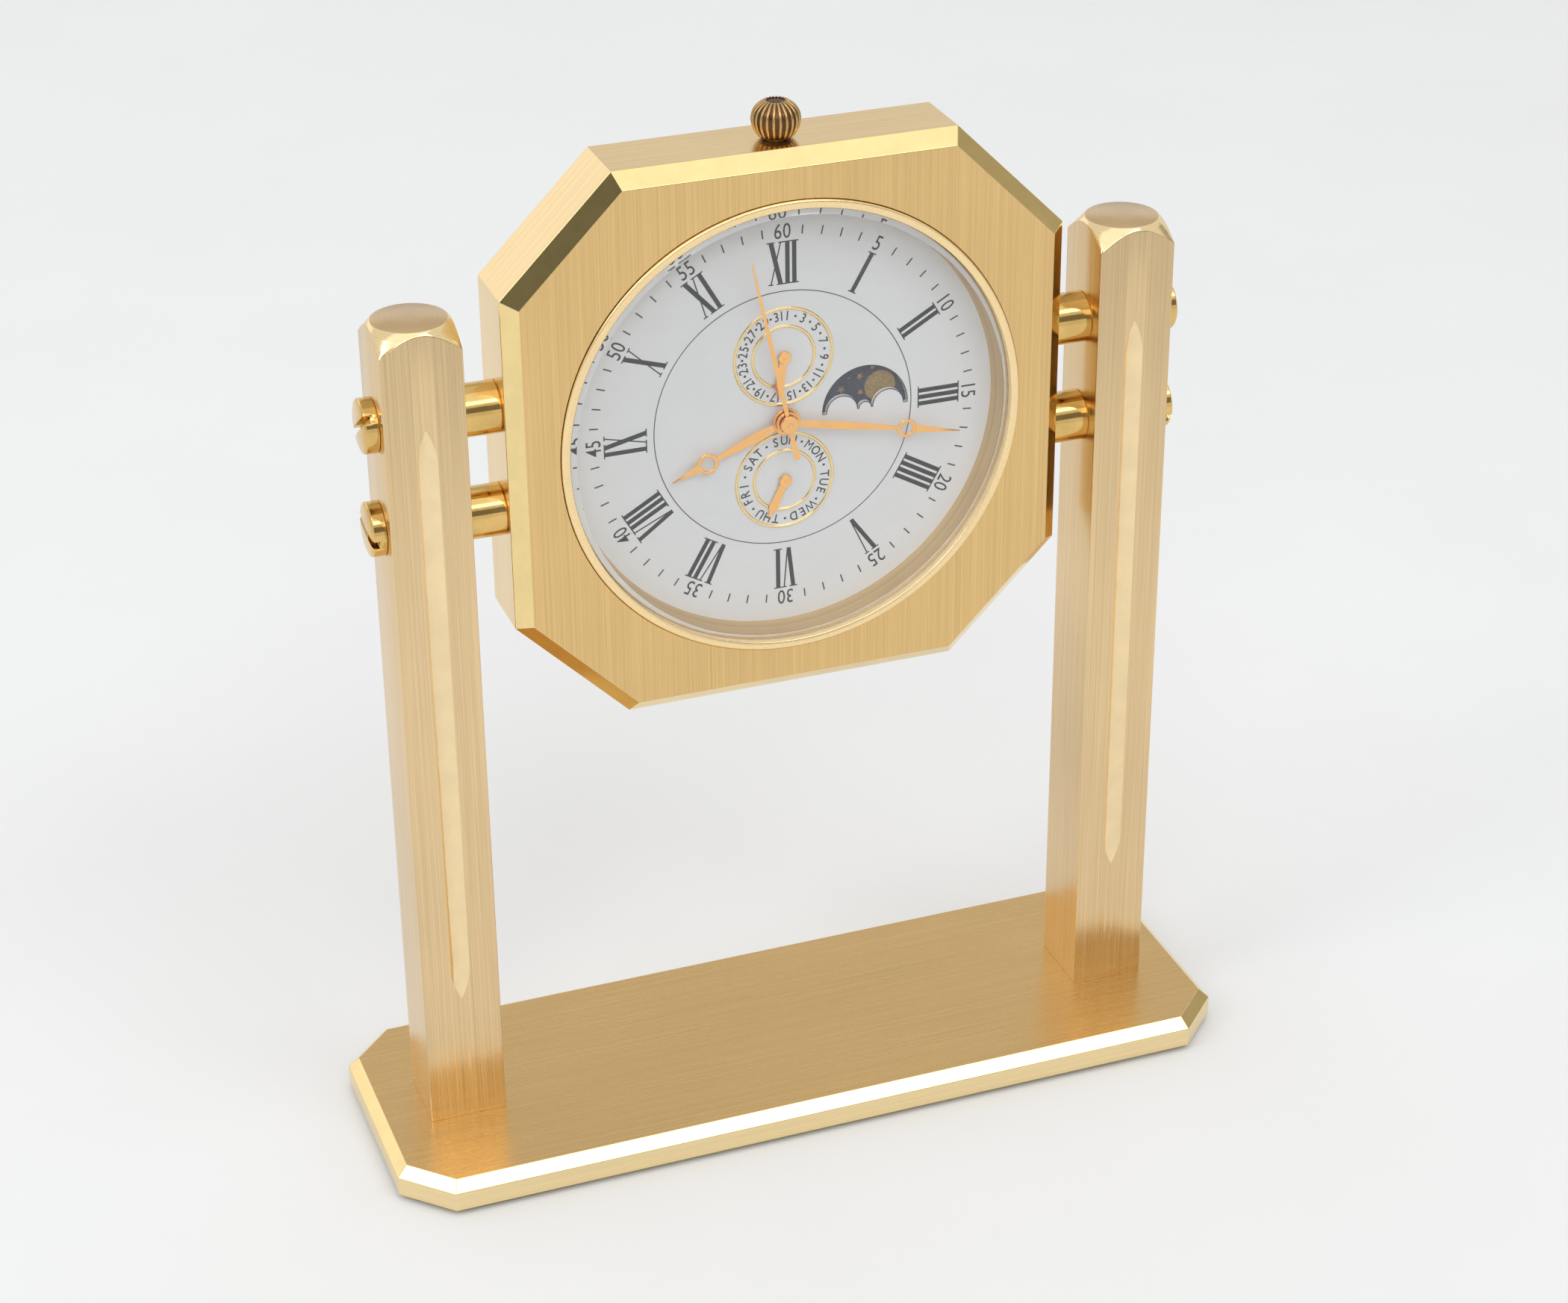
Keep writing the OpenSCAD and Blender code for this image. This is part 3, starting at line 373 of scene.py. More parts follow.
def polished(name, color, rough=0.1, mottle=0.05):
    """Polished metal with a faint haze and the swirls of the wheel."""
    s = Shader(name, color, rough, 1.0)
    haze = s.noise((0.35, 0.35, 0.35), 4.0, 0.6)
    swirl = s.noise((3.0, 3.0, 3.0), 3.0, 0.6, (7.0, 2.0, 4.0))
    s.vary(haze, color, mottle, mottle * 0.5)
    s.roughen(swirl, 0.35, 0.65, rough * 0.8, rough * 1.5)
    s.bump(haze, 0.04, 0.02)
    return s.material


def turned(name, color, centre, axes="XY", rough=0.22, contrast=0.16, strength=0.4, pitch=7.0):
    """Metal with the lathe's rings, pitch per mm, round a centre in a plane and its mirror at x = 0."""
    s = Shader(name, color, rough, 1.0)
    split = s.add("ShaderNodeSeparateXYZ")
    s.link(s.coordinates, split.inputs[0])
    a = s.math("SUBTRACT", s.math("ABSOLUTE", split.outputs[axes[0]]), centre[0] * MM)
    b = s.math("SUBTRACT", split.outputs[axes[1]], centre[1] * MM)
    radius = s.math("SQRT", s.math("ADD", s.math("MULTIPLY", a, a), s.math("MULTIPLY", b, b)))
    vector = s.add("ShaderNodeCombineXYZ")
    s.link(radius, vector.inputs["X"])
    rings = s.noise((pitch, 1.0, 1.0), 4.0, 0.7, vector=vector.outputs[0])
    s.vary(rings, color, contrast, contrast * 0.4)
    s.roughen(rings, 0.3, 0.7, rough - 0.05, rough + 0.08)
    s.bump(rings, strength, 0.04)
    return s.material


def plain(name, color, rough, metal=0.0, grain=0.5, contrast=0.06, bump=0.05):
    """Painted, moulded or plated surface with a slight unevenness; grain is specks per mm."""
    s = Shader(name, color, rough, metal)
    speck = s.noise((grain, grain, grain), 4.0, 0.6)
    s.vary(speck, color, contrast, contrast * 0.5)
    s.roughen(speck, 0.3, 0.7, max(rough - 0.05, 0.02), rough + 0.05)
    s.bump(speck, bump, 0.01)
    return s.material


def felt(name, color):
    """Felt: short fibres and soft tufts."""
    s = Shader(name, color, 0.95)
    fibre = s.noise((7.0, 7.0, 7.0), 5.0, 0.75)
    tuft = s.noise((0.8, 0.8, 0.8), 3.0, 0.6, (2.0, 5.0, 1.0))
    s.vary(s.blend(fibre, tuft, 0.4), color, 0.4, 0.3)
    s.set("Sheen Weight", 0.4)
    s.bump(fibre, 0.6, 0.05)
    return s.material


def clear_glass(name):
    """Glass that lets the lamps' light through to what is behind it."""
    s = Shader(name, (1.0, 1.0, 1.0), 0.0)
    s.set("Transmission Weight", 1.0)
    s.set("IOR", 1.5)
    smear = s.noise((0.12, 0.12, 0.12), 3.0, 0.6)
    s.link(s.spread(smear, 0.4, 0.8, 0.0, 0.012), s.shader.inputs["Roughness"])
    out = s.tree.nodes["Material Output"]
    clear = s.add("ShaderNodeBsdfTransparent")
    path = s.add("ShaderNodeLightPath")
    mix = s.add("ShaderNodeMixShader")
    s.link(path.outputs["Is Shadow Ray"], mix.inputs[0])
    s.link(s.shader.outputs[0], mix.inputs[1])
    s.link(clear.outputs[0], mix.inputs[2])
    s.link(mix.outputs[0], out.inputs["Surface"])
    return s.material


case_face = brushed("case front brushed upright", (0.78, 0.53, 0.23), "x")
case_edge = brushed("case sides brushed along the edge", (0.90, 0.68, 0.36), "y", strength=0.12)
bright = polished("polished brass bevels", (0.90, 0.70, 0.33), 0.07)
ring_polish = polished("satin bezel ring", (0.98, 0.75, 0.41), 0.22, 0.02)
post_face = brushed("posts brushed upright", (0.80, 0.59, 0.33), "xy", contrast=0.18)
base_face = brushed("base top brushed lengthwise", (0.80, 0.56, 0.27), "y", rough=0.24, contrast=0.1)
base_edge = brushed("base edge", (0.92, 0.74, 0.42), "z", strength=0.15, contrast=0.08)
post_turned = turned("turned post tops", (0.75, 0.54, 0.31), (POST_X, 0.0), pitch=9.0)
post_cone = turned("turned post cones", (0.92, 0.72, 0.40), (POST_X, 0.0), rough=0.12, contrast=0.08,
                   strength=0.1)
flute_polish = polished("milled flutes", (0.93, 0.73, 0.43), 0.14)
screw_brass = polished("screws and spacers", (0.78, 0.52, 0.18), 0.1, 0.12)
inner_metal = brushed("inside of the case", (0.5, 0.36, 0.2), "y", rough=0.4)
slope_satin = turned("satin sloped ring", (0.80, 0.59, 0.32), (0.0, CASE_Z), "XZ", rough=0.38, contrast=0.26,
                     strength=0.9, pitch=5.0)
# painted reflection: the bezel's polished inner wall and the glass's side are drawn as matte pale gold, lit
# by the lamps, in place of the pale band they reflect
painted_reflection_wall = plain("walls at the glass's edge, painted reflection", (0.88, 0.67, 0.38), 0.4, grain=1.0)
dial_white = plain("dial ground", (0.85, 0.865, 0.875), 0.38, grain=0.25, contrast=0.015, bump=0.02)
print_ink = plain("dial print", (0.022, 0.022, 0.025), 0.6, grain=2.0, contrast=0.2)
gold_line = polished("gold rings on the dial", (0.93, 0.72, 0.34), 0.2, 0.015)
hand_gold = polished("rose gold hands", (1.0, 0.53, 0.16), 0.16, 0.04)
moon_blue = plain("moon disc print", (0.045, 0.05, 0.085), 0.5, grain=4.0, contrast=0.5)
moon_gold = plain("moon and stars print", (0.36, 0.25, 0.10), 0.45, metal=0.3, grain=4.0, contrast=0.3)
green_felt = felt("green felt", (0.02, 0.11, 0.045))
glass = clear_glass("clear glass")
gasket = plain("amber gasket", (0.82, 0.66, 0.44), 0.4)
crown_brass = polished("antique ribs of the crown", (0.58, 0.38, 0.16), 0.22, 0.2)
# the crown's dark core: patina with painted shade in the grooves and the sunk top, and painted shade on the
# neck and skirt under the ribs
crown_patina_and_painted_shade = polished("patina and painted shade of the crown's core", (0.15, 0.075, 0.035), 0.34, 0.3)
steel = plain("steel", (0.55, 0.55, 0.56), 0.3, metal=1.0, grain=2.0)
nickel = plain("nickel plates", (0.62, 0.61, 0.58), 0.28, metal=1.0, grain=1.0)
ivory = plain("ivory moulding", (0.72, 0.68, 0.58), 0.5)
board_green = plain("circuit board", (0.03, 0.16, 0.08), 0.4)
resin = plain("black resin", (0.02, 0.02, 0.02), 0.4)
can = polished("bright cans", (0.7, 0.7, 0.72), 0.15)
winding = brushed("copper winding", (0.55, 0.18, 0.06), "x", rough=0.35)
wheel_brass = plain("wheels", (0.75, 0.53, 0.22), 0.3, metal=1.0)
wheel_white = plain("moulded wheels", (0.75, 0.74, 0.7), 0.4)
magnet = plain("magnet", (0.1, 0.1, 0.11), 0.5)

for look, nodes in (
        (steel, "base_screws movement_screws cell_strap coil_core stator case_back_screws sliding_pinion"
                " winding_stem"),
        (nickel, "main_plate calendar_bridge train_bridge"),
        (can, "quartz_can button_cell"),
        (wheel_brass, "centre_wheel hour_wheel"),
        (wheel_white, "seconds_wheel third_wheel intermediate_wheel minute_wheel date_drive_wheel"
                      " day_drive_wheel moon_drive_wheel date_star day_star"),
        (green_felt, "felt_pad"), (gasket, "crystal_gasket"), (dial_white, "dial"),
        (gold_line, "calendar_rings"), (ivory, "movement_holder"), (board_green, "circuit_board"),
        (resin, "chip"), (winding, "coil"), (case_face, "case_back"), (screw_brass, "crown_tube"),
        (magnet, "rotor"), (moon_blue, "moon_disc")):
    for node_name in nodes.split():
        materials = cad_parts[node_name].data.materials
        materials.clear()
        materials.append(look)


# ---- the repeating tree


def repeat_tree():
    """Geometry Nodes: copies a shape along steps of turning and shifting."""
    tree = bpy.data.node_groups.new("repeat", "GeometryNodeTree")
    face = tree.interface
    face.new_socket("Geometry", in_out="INPUT", socket_type="NodeSocketGeometry")
    for name, kind in (("Count", "NodeSocketInt"), ("Leave out every", "NodeSocketInt"),
                       ("Turn per step", "NodeSocketVector"), ("Shift per step", "NodeSocketVector"),
                       ("Place", "NodeSocketVector"), ("Finish", "NodeSocketMaterial")):
        face.new_socket(name, in_out="INPUT", socket_type=kind)
    face.new_socket("Geometry", in_out="OUTPUT", socket_type="NodeSocketGeometry")
    link = tree.links.new

    def node(kind, operation=None):
        made = tree.nodes.new(kind)
        if operation:
            made.operation = operation
        return made

    given = node("NodeGroupInput").outputs
    line = node("GeometryNodeMeshLine")
    line.inputs["Offset"].default_value = (0, 0, 0)
    link(given["Count"], line.inputs["Count"])
    index = node("GeometryNodeInputIndex").outputs[0]

    def stepped(vector):
        scale = node("ShaderNodeVectorMath", "SCALE")
        link(vector, scale.inputs[0])
        link(index, scale.inputs["Scale"])
        return scale.outputs[0]

    shifted = node("GeometryNodeSetPosition")
    link(line.outputs[0], shifted.inputs[0])
    link(stepped(given["Shift per step"]), shifted.inputs["Offset"])
    remainder = node("ShaderNodeMath", "MODULO")
    link(index, remainder.inputs[0])
    link(given["Leave out every"], remainder.inputs[1])
    zero = node("FunctionNodeCompare", "LESS_THAN")
    link(remainder.outputs[0], zero.inputs[0])
    zero.inputs[1].default_value = 0.5
    skips = node("FunctionNodeCompare", "GREATER_THAN")
    link(given["Leave out every"], skips.inputs[0])
    skips.inputs[1].default_value = 0.5
    both = node("FunctionNodeBooleanMath")
    link(zero.outputs[0], both.inputs[0])
    link(skips.outputs[0], both.inputs[1])
    thinned = node("GeometryNodeDeleteGeometry")
    link(both.outputs[0], thinned.inputs[1])
    copies = node("GeometryNodeInstanceOnPoints")
    link(thinned.outputs[0], copies.inputs["Points"])
    link(given["Geometry"], copies.inputs["Instance"])
    caught = node("GeometryNodeCaptureAttribute")
    caught.capture_items.new("VECTOR", "Turn")
    link(shifted.outputs[0], caught.inputs[0])
    link(stepped(given["Turn per step"]), caught.inputs[1])
    link(caught.outputs[0], thinned.inputs[0])
    turn = node("FunctionNodeEulerToRotation")
    link(caught.outputs[1], turn.inputs[0])
    link(turn.outputs[0], copies.inputs["Rotation"])
    real = node("GeometryNodeRealizeInstances")
    link(copies.outputs[0], real.inputs[0])
    moved = node("GeometryNodeTransform")
    link(real.outputs[0], moved.inputs[0])
    link(given["Place"], moved.inputs["Translation"])
    finish = node("GeometryNodeSetMaterial")
    link(moved.outputs[0], finish.inputs[0])
    link(given["Finish"], finish.inputs["Material"])
    out = node("NodeGroupOutput")
    link(finish.outputs[0], out.inputs[0])
    return tree


REPEAT = repeat_tree()


def repeated(obj, count, finish, turn=(0, 0, 0), shift=(0, 0, 0), place=(0, 0, 0), leave_out=0):
    """A piece copied count times; turn in degrees, shift and place in mm."""
    modifier = obj.modifiers.new("repeat", "NODES")
    modifier.node_group = REPEAT
    values = {"Count": count, "Leave out every": leave_out, "Turn per step": [math.radians(t) for t in turn],
              "Shift per step": [s * MM for s in shift], "Place": [p * MM for p in place], "Finish": finish}
    for item in REPEAT.interface.items_tree:
        if item.in_out == "INPUT" and item.name in values:
            modifier[item.identifier] = values[item.name]
    return baked(obj)


# ---- stand


def build_base():
    top_finish, bevel_finish, side_finish = range(3)
    bm = bmesh.new()
    low, high = base_low.z, base_high.z
    outer = octagon(BASE_L, BASE_D, BASE_CUT)
    inner = octagon(BASE_L, BASE_D, BASE_CUT, BASE_BEVEL)
    under = loop(bm, [(x, y, low) for x, y in outer])
    shoulder = loop(bm, [(x, y, high - BASE_BEVEL) for x, y in outer])
    top = loop(bm, [(x, y, high) for x, y in inner])
    bm.faces.new(under[::-1]).material_index = side_finish
    bridge(bm, under, shoulder, side_finish)
    bridge(bm, shoulder, top, bevel_finish)
    bm.faces.new(top).material_index = top_finish
    obj = make_object("base_slab", bm, [base_face, bright, base_edge])
    settle(soften(obj, width=0.07), "frame", "brushed_brass", "base_plate")


POST_SIDE, POST_TOP, POST_CONE_FINISH, POST_FLUTE = range(4)


def post_body(x):
    """A square bar with a flat turned top; the cone below it cuts the four corners."""
    bm = bmesh.new()
    half = POST_W / 2
    steps = 128
    angles = [math.tau * (k + 0.5) / steps for k in range(steps)]
    angles += [math.radians(corner) for corner in (45, 135, 225, 315)]
    angles = sorted(set(angles))
    reach = [half / max(abs(math.cos(a)), abs(math.sin(a))) for a in angles]
    centre_share, cone_shares = 0.05, (0.34, 0.67, 1.0)
    rings = [[(POST_TOP_R * share * math.cos(a) + x, POST_TOP_R * share * math.sin(a), post_high.z)
              for a in angles] for share in (centre_share, 1.0)]
    for t in cone_shares:
        ring = []
        for a, r in zip(angles, reach):
            radius = POST_TOP_R + (r - POST_TOP_R) * t
            ring.append((x + radius * math.cos(a), radius * math.sin(a),
                         post_high.z - (radius - POST_TOP_R) * POST_CONE))
        rings.append(ring)
    rings.append([(px, py, post_low.z) for px, py, _ in rings[-1]])
    loops = [loop(bm, ring) for ring in rings]
    bm.faces.new(loops[0]).material_index = POST_TOP
    finishes = [POST_TOP] + [POST_CONE_FINISH] * len(cone_shares) + [POST_SIDE]
    for low, high, finish in zip(loops, loops[1:], finishes):
        bridge(bm, high, low, finish)
    bm.faces.new(loops[-1][::-1])
    mend_normals(bm)
    return bm


def flute_cutter(x):
    """The milled flute as a solid: a round bar with lancet ends that dips into the post's front."""
    half = FLUTE_W / 2
    radius = (half * half + FLUTE_DEPTH * FLUTE_DEPTH) / (2 * FLUTE_DEPTH)
    core = radius - FLUTE_DEPTH
    steps = 16
    tip = 0.2
    ends = [(math.hypot(core, half * (1 - (1 - i / steps) ** 2)), FLUTE_POINT * i / steps)
            for i in range(steps + 1)]
    profile = [(0, FLUTE_LOW - tip)] + [(r, FLUTE_LOW + z) for r, z in ends]
    profile += [(r, FLUTE_HIGH - z) for r, z in reversed(ends)] + [(0, FLUTE_HIGH + tip)]
    bm = bmesh.new()
    place = Matrix.Translation(Vector((x, FLUTE_DEPTH - radius - POST_W / 2, 0)) * MM) @ Matrix.Scale(MM, 4)
    add_lathe(bm, profile, place)
    mend_normals(bm)
    return bm


def build_post(name, x, node):
    post = make_object(name, post_body(x), [post_face, post_turned, post_cone, flute_polish])
    soften(post, width=0.05, angle=40, segments=1, harden=False)
    cutter = make_object(name + "_cutter", flute_cutter(x), [flute_polish])
    cutter.data.shade_smooth()
    cut_away(post, cutter, transfer=True)
    for face in post.data.polygons:
        face.use_smooth = face.material_index in (POST_CONE_FINISH, POST_FLUTE)
    post.data.set_sharp_from_angle(angle=math.radians(30))
    settle(post, "frame", "brushed_brass", node)


def build_spacers(name, side, node):
    edge = 0.12
    length = POST_X - POST_W / 2 - CASE_W / 2
    bm = bmesh.new()
    add_lathe(bm, [(SPACER_BORE_R, 0), (SPACER_R - edge, 0), (SPACER_R, edge), (SPACER_R, length - edge),
                   (SPACER_R - edge, length), (SPACER_BORE_R, length)],
              side_matrix(side, CASE_W / 2, CASE_Z - SPACER_DZ), closed=True)
    mend_normals(bm)
    obj = make_object(name, bm, [screw_brass], 30)
    repeated(obj, 2, screw_brass, shift=(0, 0, 2 * SPACER_DZ))
    settle(obj, "frame", "polished_brass", node)


def build_case_screws(name, side, node, turns):
    """Two cheese-head screws with domed, slotted heads; turns are the slots' angles."""
    edge, under = 0.35, 0.08
    slot_reach, slot_over = 5, 1
    whole = bmesh.new()
    for dz, turn in zip((SPACER_DZ, -SPACER_DZ), turns):
        bm = bmesh.new()
        place = side_matrix(side, POST_X + POST_W / 2, CASE_Z + dz)
        add_lathe(bm, [(0, -SHANK_L), (SHANK_R, -SHANK_L), (SHANK_R, 0), (SCREW_R - under, 0),
                       (SCREW_R, under), (SCREW_R, SCREW_T - edge), (SCREW_R - 0.1, SCREW_T - edge * 0.6),
                       (SCREW_R - edge, SCREW_T - edge * 0.35), (SCREW_R * 0.5, SCREW_T - 0.05),
                       (0, SCREW_T)], place, 72)
        mend_normals(bm)
        head = make_object(name + "_head", bm, [screw_brass])
        slot_bm = bmesh.new()
        add_prism(slot_bm, bar(-slot_reach, slot_reach, -SLOT_W / 2, SLOT_W / 2), SCREW_T - SLOT_DEPTH,
                  SCREW_T + slot_over, place @ Matrix.Rotation(math.radians(turn), 4, "Z"))
        cut_away(head, make_object(name + "_slot", slot_bm, [screw_brass]))
        whole.from_mesh(head.data)
        bpy.data.objects.remove(head)
    obj = soften(make_object(name, whole, [screw_brass]), width=0.04, angle=50, segments=1)
    smooth(obj.data, 35)
    settle(obj, "frame", "polished_brass", node)


# ---- case


def build_case():
    """The octagon with its bores, row by row from the front bevel over the back to the ring's seat."""
    face, bevel, side, inside, lip = range(5)
    share = 26
    outer = along_edges(octagon(CASE_W, CASE_H, CASE_CUT), share)
    front = along_edges(octagon(CASE_W, CASE_H, CASE_CUT, CASE_BEVEL), share)
    back = along_edges(octagon(CASE_W, CASE_H, CASE_CUT, BACK_BEVEL), share)
    angles = [math.atan2(z, x) for x, z in outer]

    def ring(radius, height):
        return [(radius * math.cos(a), -height, CASE_Z + radius * math.sin(a)) for a in angles]

    def plate(points, height):
        return [(x, -height, CASE_Z + z) for x, z in points]

    rows = [(plate(front, CASE_FRONT), bevel), (plate(outer, CASE_FRONT - CASE_BEVEL), side),
            (plate(outer, BACK_BEVEL - CASE_FRONT), bevel), (plate(back, -CASE_FRONT), face),
            (ring(COVER_SEAT_R, -CASE_FRONT), inside), (ring(COVER_SEAT_R, COVER_FRONT), inside),
            (ring(BORE_R, COVER_FRONT), inside), (ring(BORE_R, SLOPE_FRONT), inside),
            (ring(LIP_R, SLOPE_FRONT), lip), (ring(LIP_R, LIP_FRONT), inside),
            (ring(RING_SEAT_R, LIP_FRONT), inside), (ring(RING_SEAT_R, CASE_FRONT), face)]
    bm = bmesh.new()
    loops = [loop(bm, points) for points, _ in rows]
    for i, (_, finish) in enumerate(rows):
        bridge(bm, loops[i], loops[(i + 1) % len(loops)], finish)
    mend_normals(bm)
    obj = make_object("case_shell", bm, [case_face, bright, case_edge, inner_metal, slope_satin])
    settle(soften(obj, width=0.06, angle=30), "frame", "brushed_brass", "case_body")


def build_bezel():
    outer, inner = ring_high.x, glass_high.x + SEAT_GAP
    low, high = LIP_FRONT, -ring_low.y
    edge, round_edge, steps = 0.08, 0.25, 5
    profile = [(inner, low), (outer, low)]
    for i in range(steps + 1):
        a = math.pi / 2 * i / steps
        profile.append((outer - round_edge * (1 - math.cos(a)), high - round_edge * (1 - math.sin(a))))
    profile += [(inner + edge, high), (inner, high - edge)]
    bm = bmesh.new()
    add_lathe(bm, profile, face_matrix(), WIDE_ROUND, closed=True)
    # the inner wall takes the matte pale gold of the painted reflection
    finish_wall(bm, inner)
    mend_normals(bm)
    settle(make_object("bezel", bm, [ring_polish, painted_reflection_wall], 50), "frame", "polished_brass", "bezel_ring")


def build_glass():
    radius = glass_high.x
    off_gasket = 0.03
    low, high = -glass_high.y + off_gasket, -glass_low.y
    bevel, drop = 0.6, 0.5
    profile = [(0, low), (radius, low), (radius, high - drop), (radius - bevel, high), (0, high)]
    bm = bmesh.new()
    add_lathe(bm, profile, face_matrix(), WIDE_ROUND)
    # the side wall takes the matte pale gold of the painted reflection
    finish_wall(bm, radius)
    mend_normals(bm)
    settle(make_object("watch_glass", bm, [glass, painted_reflection_wall], 20), "frame", "glass", "crystal")


def build_slope():
    """The sloped ring, with a thin sleeve that lines the case's lip up to the bezel ring."""
    outer = slope_high.x
    low, high = DIAL_FRONT, SLOPE_FRONT
    inner_low, inner_high = 22.05, LIP_R - 0.05
    sleeve, sleeve_high = LIP_R - 0.01, LIP_FRONT - 0.02
    profile = [(inner_low, low), (outer, low), (outer, high), (sleeve, high), (sleeve, sleeve_high),
               (inner_high, sleeve_high), (inner_high, high)]
    bm = bmesh.new()
    add_lathe(bm, profile, face_matrix(), WIDE_ROUND, closed=True)
    mend_normals(bm)
    settle(make_object("sloped_ring", bm, [slope_satin], 40), "frame", "slope", "slope_ring")


# ---- dial print


def glyph(bm, text, x, y, turn, size, stretch, weight):
    """A number or letter as flat ink on the dial; x, y is its middle, turn clockwise."""
    curve = bpy.data.curves.new("glyph", "FONT")
    curve.body = text
    curve.size = size
    curve.align_x = "CENTER"
    curve.align_y = "CENTER"
    curve.offset = weight
    curve.resolution_u = 3
    curve.extrude = INK / 2
    obj = bpy.data.objects.new("glyph", curve)
    bpy.context.scene.collection.objects.link(obj)
    graph = bpy.context.evaluated_depsgraph_get()
    mesh = bpy.data.meshes.new_from_object(obj.evaluated_get(graph), depsgraph=graph)
    xs = [v.co.x for v in mesh.vertices]
    ys = [v.co.y for v in mesh.vertices]
    middle = Matrix.Translation((-(min(xs) + max(xs)) / 2, -(min(ys) + max(ys)) / 2, INK / 2))
    mesh.transform(face_matrix(x, y, DIAL_FRONT, turn) @ Matrix.Diagonal((stretch, 1, 1, 1)) @ middle)
    bm.from_mesh(mesh)
    bpy.data.objects.remove(obj)
    bpy.data.curves.remove(curve)
    bpy.data.meshes.remove(mesh)


def on_circle(centre, radius, angle):
    """A point of a circle, by its angle clockwise from the top."""
    a = math.radians(angle)
    return centre[0] + radius * math.sin(a), centre[1] + radius * math.cos(a)


def write(bm, text, centre, radius, angle, gap, size, stretch, weight, upright=False):
    """Writes round a circle; gap is the angle between letters. Upright, all letters take one angle."""
    for i, letter in enumerate(text):
        a = angle + (i - (len(text) - 1) / 2) * gap
        x, y = on_circle(centre, radius, a)
        glyph(bm, letter, x, y, angle if upright else a, size, stretch, 0.0 if letter in "MW" else weight)


ROMAN_H = 4.4
ROMAN_R = 16.35
STEM = 0.45
HAIR = 0.13
SERIF = 0.12
SERIF_OUT = 0.22
THICK_SERIF, THIN_SERIF = 0.42, 0.25


def bar(x0, x1, y0, y1):
    return [(x0, y0), (x1, y0), (x1, y1), (x0, y1)]


def slanted(x_low, x_high, width):
    """A stroke of the numeral's full height."""
    half = ROMAN_H / 2
    return [(x_low - width / 2, -half), (x_low + width / 2, -half), (x_high + width / 2, half),
            (x_high - width / 2, half)]


def roman_strokes(word):
    """The outlines of a Roman numeral, centred."""
    widths = {"I": 0.7, "V": 1.56, "X": 1.68}
    half = ROMAN_H / 2
    x = -sum(widths[letter] for letter in word) / 2
    strokes, feet, heads = [], [], []

    def serif(places, middle, reach):
        places.append((middle - reach, middle + reach))

    for letter in word:
        w = widths[letter]
        m = x + w / 2
        if letter == "I":
            strokes.append(slanted(m, m, STEM))
            feet.append((m - STEM / 2 - SERIF_OUT, m + STEM / 2 + SERIF_OUT))
            heads.append(feet[-1])
        if letter == "V":
            thick, thin = m - 0.48, m + 0.5
            strokes.append(slanted(m, thick, STEM * 0.98))
            strokes.append(slanted(m + 0.12, thin, HAIR))
            serif(heads, thick, THICK_SERIF)
            serif(heads, thin, THIN_SERIF)
        if letter == "X":
            thick, thin = 0.5, 0.52
            strokes.append(slanted(m + thick, m - thick, STEM * 1.08))
            strokes.append(slanted(m - thin, m + thin, HAIR))
            heads.append((m - thick - THICK_SERIF, m - thick + 0.4))
            serif(heads, m + thin, THIN_SERIF)
            serif(feet, m + thick, THICK_SERIF)
            serif(feet, m - thin, THIN_SERIF)
        x += w
    strokes += [bar(a, b, -half, -half + SERIF) for a, b in feet]
    strokes += [bar(a, b, half - SERIF, half) for a, b in heads]
    return strokes


def build_dial_print():
    """Hour numerals, minute numbers, the odd dates and the weekdays."""
    layer = 0.0004  # crossing strokes of a numeral don't share a plane
    bm = bmesh.new()
    words = ["XII", "I", "II", "III", "IIII", "V", "VI", "VII", "VIII", "IX", "X", "XI"]
    for hour, word in enumerate(words):
        x, y = on_circle((0, 0), ROMAN_R, hour * 30)
        place = face_matrix(x, y, DIAL_FRONT, hour * 30)
        for i, stroke in enumerate(roman_strokes(word)):
            add_prism(bm, stroke, 0, INK + i * layer, place)
    for hour in range(12):
        write(bm, str(hour * 5 or 60), (0, 0), 19.6, hour * 30, 2.65, size=2.2, stretch=0.8, weight=0.004,
              upright=True)
    for day in range(1, 32, 2):
        text = str(day)
        write(bm, text, (0, SUB_OFFSET), DATE_R, (day - 0.5) * 360 / 31, 7.4 if "1" in text else 9.4,
              size=1.38, stretch=0.84, weight=0.012)
    for k, word in enumerate(("SUN", "MON", "TUE", "WED", "THU", "FRI", "SAT")):
        write(bm, word, (0, -SUB_OFFSET), DAY_R, k * 360 / 7, 13.4 if "W" in word or "M" in word else 12.2,
              size=1.36, stretch=0.86, weight=0.015)
    settle(make_object("dial_print", bm, [print_ink]), "frame", "dial_white")


